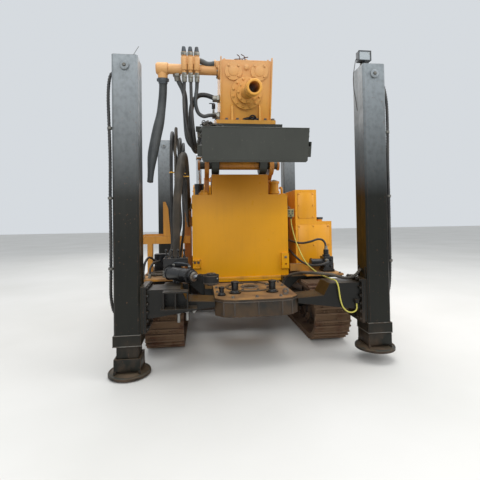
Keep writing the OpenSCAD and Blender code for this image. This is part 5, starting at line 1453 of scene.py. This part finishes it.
def mudLumps(count):
    # dried mud between the ribs of the shoes
    shoes = trackSizes["count"]
    dropSelection()
    bpy.ops.mesh.primitive_ico_sphere_add(subdivisions=2, radius=1)
    model = bpy.context.active_object
    for vertex in model.data.vertices:
        vertex.co *= 0.75 + 0.5 * random.random()
    for side in (-1, 1):
        places = []
        for _ in range(count):
            share = random.random()
            (y, z), way = alongTrack((round(share * shoes) + 0.30) / shoes, trackSizes)
            x = side * (trackSizes["x"] + random.uniform(0.03, 0.32))
            at = Vector((x, y, z)) - Vector(way) * 0.002
            places.append((tuple(at), way, random.uniform(0.006, 0.013), random.uniform(0, 6)))
        repeatModel("trackMud", model, places, "mudBrown", "chassis")
    bpy.data.objects.remove(model)


mudLumps(90)
print("tracks dressed")

# Engine hood and side boxes

hoodSizes = {"y": (2.35, 3.30), "x": 0.56, "top": 1.75, "boltZ": (0.68, 0.95, 1.22, 1.49, 1.66),
             "boltX": (-0.50, -0.25, 0.0, 0.25, 0.50), "handleY": 0.415, "handleZ": (1.130, 1.200),
             "bandY": (0.470, 0.478), "louvres": 6, "louvreX": (-0.30, 0.0), "louvreHalf": 0.110,
             "louvreY": 0.560, "louvreStep": 0.045, "eyeX": 0.45, "eyeIn": (0.10, 0.14),
             "coreHalf": 0.430, "coreZ": (0.700, 1.640), "fins": 22, "finStep": 0.040,
             "capAt": (0.300, 2.830, 1.9305)}


def dressHood(given):
    y0, y1 = given["y"]
    half, top = given["x"], given["top"]
    handleY, (low, high) = y0 + given["handleY"], given["handleZ"]
    for door, x in (("door_left", -half - 0.030), ("door_right", half + 0.030)):
        addRod("doorHandle", (x, handleY, low), (x, handleY, high), 0.007, "lampPlastic", door, sides=12)
    near, far = given["bandY"]
    roof = [addBlock("hoodBand", (-half + 0.030, y0 + near, top), (half - 0.030, y0 + far, top + 0.003),
                     "bodyYellow", "chassis", soft=0)]
    wide = given["louvreHalf"]
    for x in given["louvreX"]:
        for k in range(given["louvres"]):
            y = y0 + given["louvreY"] + k * given["louvreStep"]
            roof.append(addBlock("roofLouver", (x - wide, y, top), (x + wide, y + 0.012, top + 0.014),
                                 "bodyYellow", "chassis", soft=0.002))
    joinPieces("roofLouvers", roof, "chassis")
    near, far = given["eyeIn"]
    for x in (-given["eyeX"], given["eyeX"]):
        for y in (y0 + near, y1 - far):
            turnRing("liftEye", (x, y, top + 0.024), (1, 0, 0),
                     [(0.012, -0.006), (0.028, -0.006), (0.028, 0.006), (0.012, 0.006)], "bodyYellow",
                     "chassis", sides=32)
    spots = [((side * half, y, z), (side, 0, 0)) for side in (-1, 1) for z in given["boltZ"]
             for y in (y0 + 0.035, y1 - 0.045)]
    spots += [((x, y, z), (0, facing, 0)) for x in given["boltX"] for y, facing in ((y1, 1), (y0, -1))
              for z in (0.66, 1.66)]
    repeatModel("hoodBolts", boltModel, [(spot, way, 0.018, 0.4) for spot, way in spots], "bodyYellow",
                "chassis")
    wide, (low, high) = given["coreHalf"], given["coreZ"]
    core = [addBlock("radiatorCore", (-wide, y1 - 0.075, low), (wide, y1 - 0.045, high), "blueGrey",
                     "chassis")]
    for k in range(given["fins"]):
        x = 0.010 - wide + k * given["finStep"]
        core.append(addBlock("radiatorFin", (x - 0.002, y1 - 0.046, low + 0.010),
                             (x + 0.002, y1 - 0.038, high - 0.010), "blueGrey", "chassis", soft=0))
    joinPieces("radiator", core, "chassis")
    x, y, z = given["capAt"]
    cap = [addRod("rainCap", (x, y, z), (x, y + 0.004, z + 0.004), 0.040, "heatBrown", "chassis", sides=32),
           addBlock("rainCapHinge", (x - 0.012, y + 0.032, z - 0.0105), (x + 0.012, y + 0.054, z + 0.0135),
                    "heatBrown", "chassis")]
    joinPieces("rainCap", cap, "chassis")


dressHood(hoodSizes)

boxSizes = {"filler": (1.020, 1.420), "face": 1.2465, "railX": 1.080,
            "rail": ((1.900, 1.190), (1.900, 1.250), (1.925, 1.275), (2.000, 1.278), (2.100, 1.278),
                     (2.175, 1.275), (2.200, 1.250), (2.200, 1.190)),
            "panels": ((0.700, 1.225, 0.902, 1.535), (0.700, 0.660, 1.085, 1.150)),
            "gaugeX": 1.113, "gaugeY": (1.600, 1.640), "gaugeZ": (0.780, 1.080),
            "deckTop": 0.620, "deckX": (0.70, 1.055), "deckY": (0.88, 1.16, 2.35, 2.55, 2.72)}


def dressBoxes(given):
    x, y = given["filler"]
    cap = [addRod("fuelNeck", (x, y, 1.190), (x, y, 1.212), 0.040, "bodyYellow", "chassis"),
           addRod("fuelCap", (x, y, 1.212), (x, y, 1.240), 0.048, "lampPlastic", "chassis", sides=12)]
    joinPieces("fuelCap", cap, "chassis")
    face = given["face"]
    panel = [addBlock("boxPanel", (left, face, low), (right, face + 0.004, high), "bodyYellow", "chassis")
             for left, low, right, high in given["panels"]]
    joinPieces("boxPanels", panel, "chassis")
    spots = [(x, face, z) for x in (0.715, 0.887) for z in (1.240, 1.380, 1.520)]
    spots += [(x, face, z) for x in (0.715, 0.890, 1.070) for z in (0.680, 0.905, 1.130)]
    repeatModel("boxBolts", boltModel, [(spot, (0, -1, 0), 0.014, 0.1) for spot in spots], "bodyYellow",
                "chassis")
    x, (near, far), (low, high) = given["gaugeX"], given["gaugeY"], given["gaugeZ"]
    middle = (near + far) / 2
    gauge = [addBlock("gaugeFrame", (x, near, low), (x + 0.009, far, high), "wornSteel", "chassis"),
             addRod("gaugeTube", (x + 0.011, middle, low + 0.020), (x + 0.011, middle, high - 0.020),
                    0.008, "lampGlass", "chassis", sides=16)]
    joinPieces("fuelGauge", gauge, "chassis")
    sweepTube("boxRail", [(given["railX"], *at) for at in given["rail"]], 0.010, 14, "bodyYellow",
              "chassis", 6)
    deck = [(side * x, y, given["deckTop"]) for side in (-1, 1) for x in given["deckX"]
            for y in given["deckY"]]
    repeatModel("deckBolts", boltModel, [(spot, (0, 0, 1), 0.022, 0.1) for spot in deck], "wornSteel",
                "chassis")


dressBoxes(boxSizes)
print("body dressed")

bpy.data.objects.remove(boltModel)
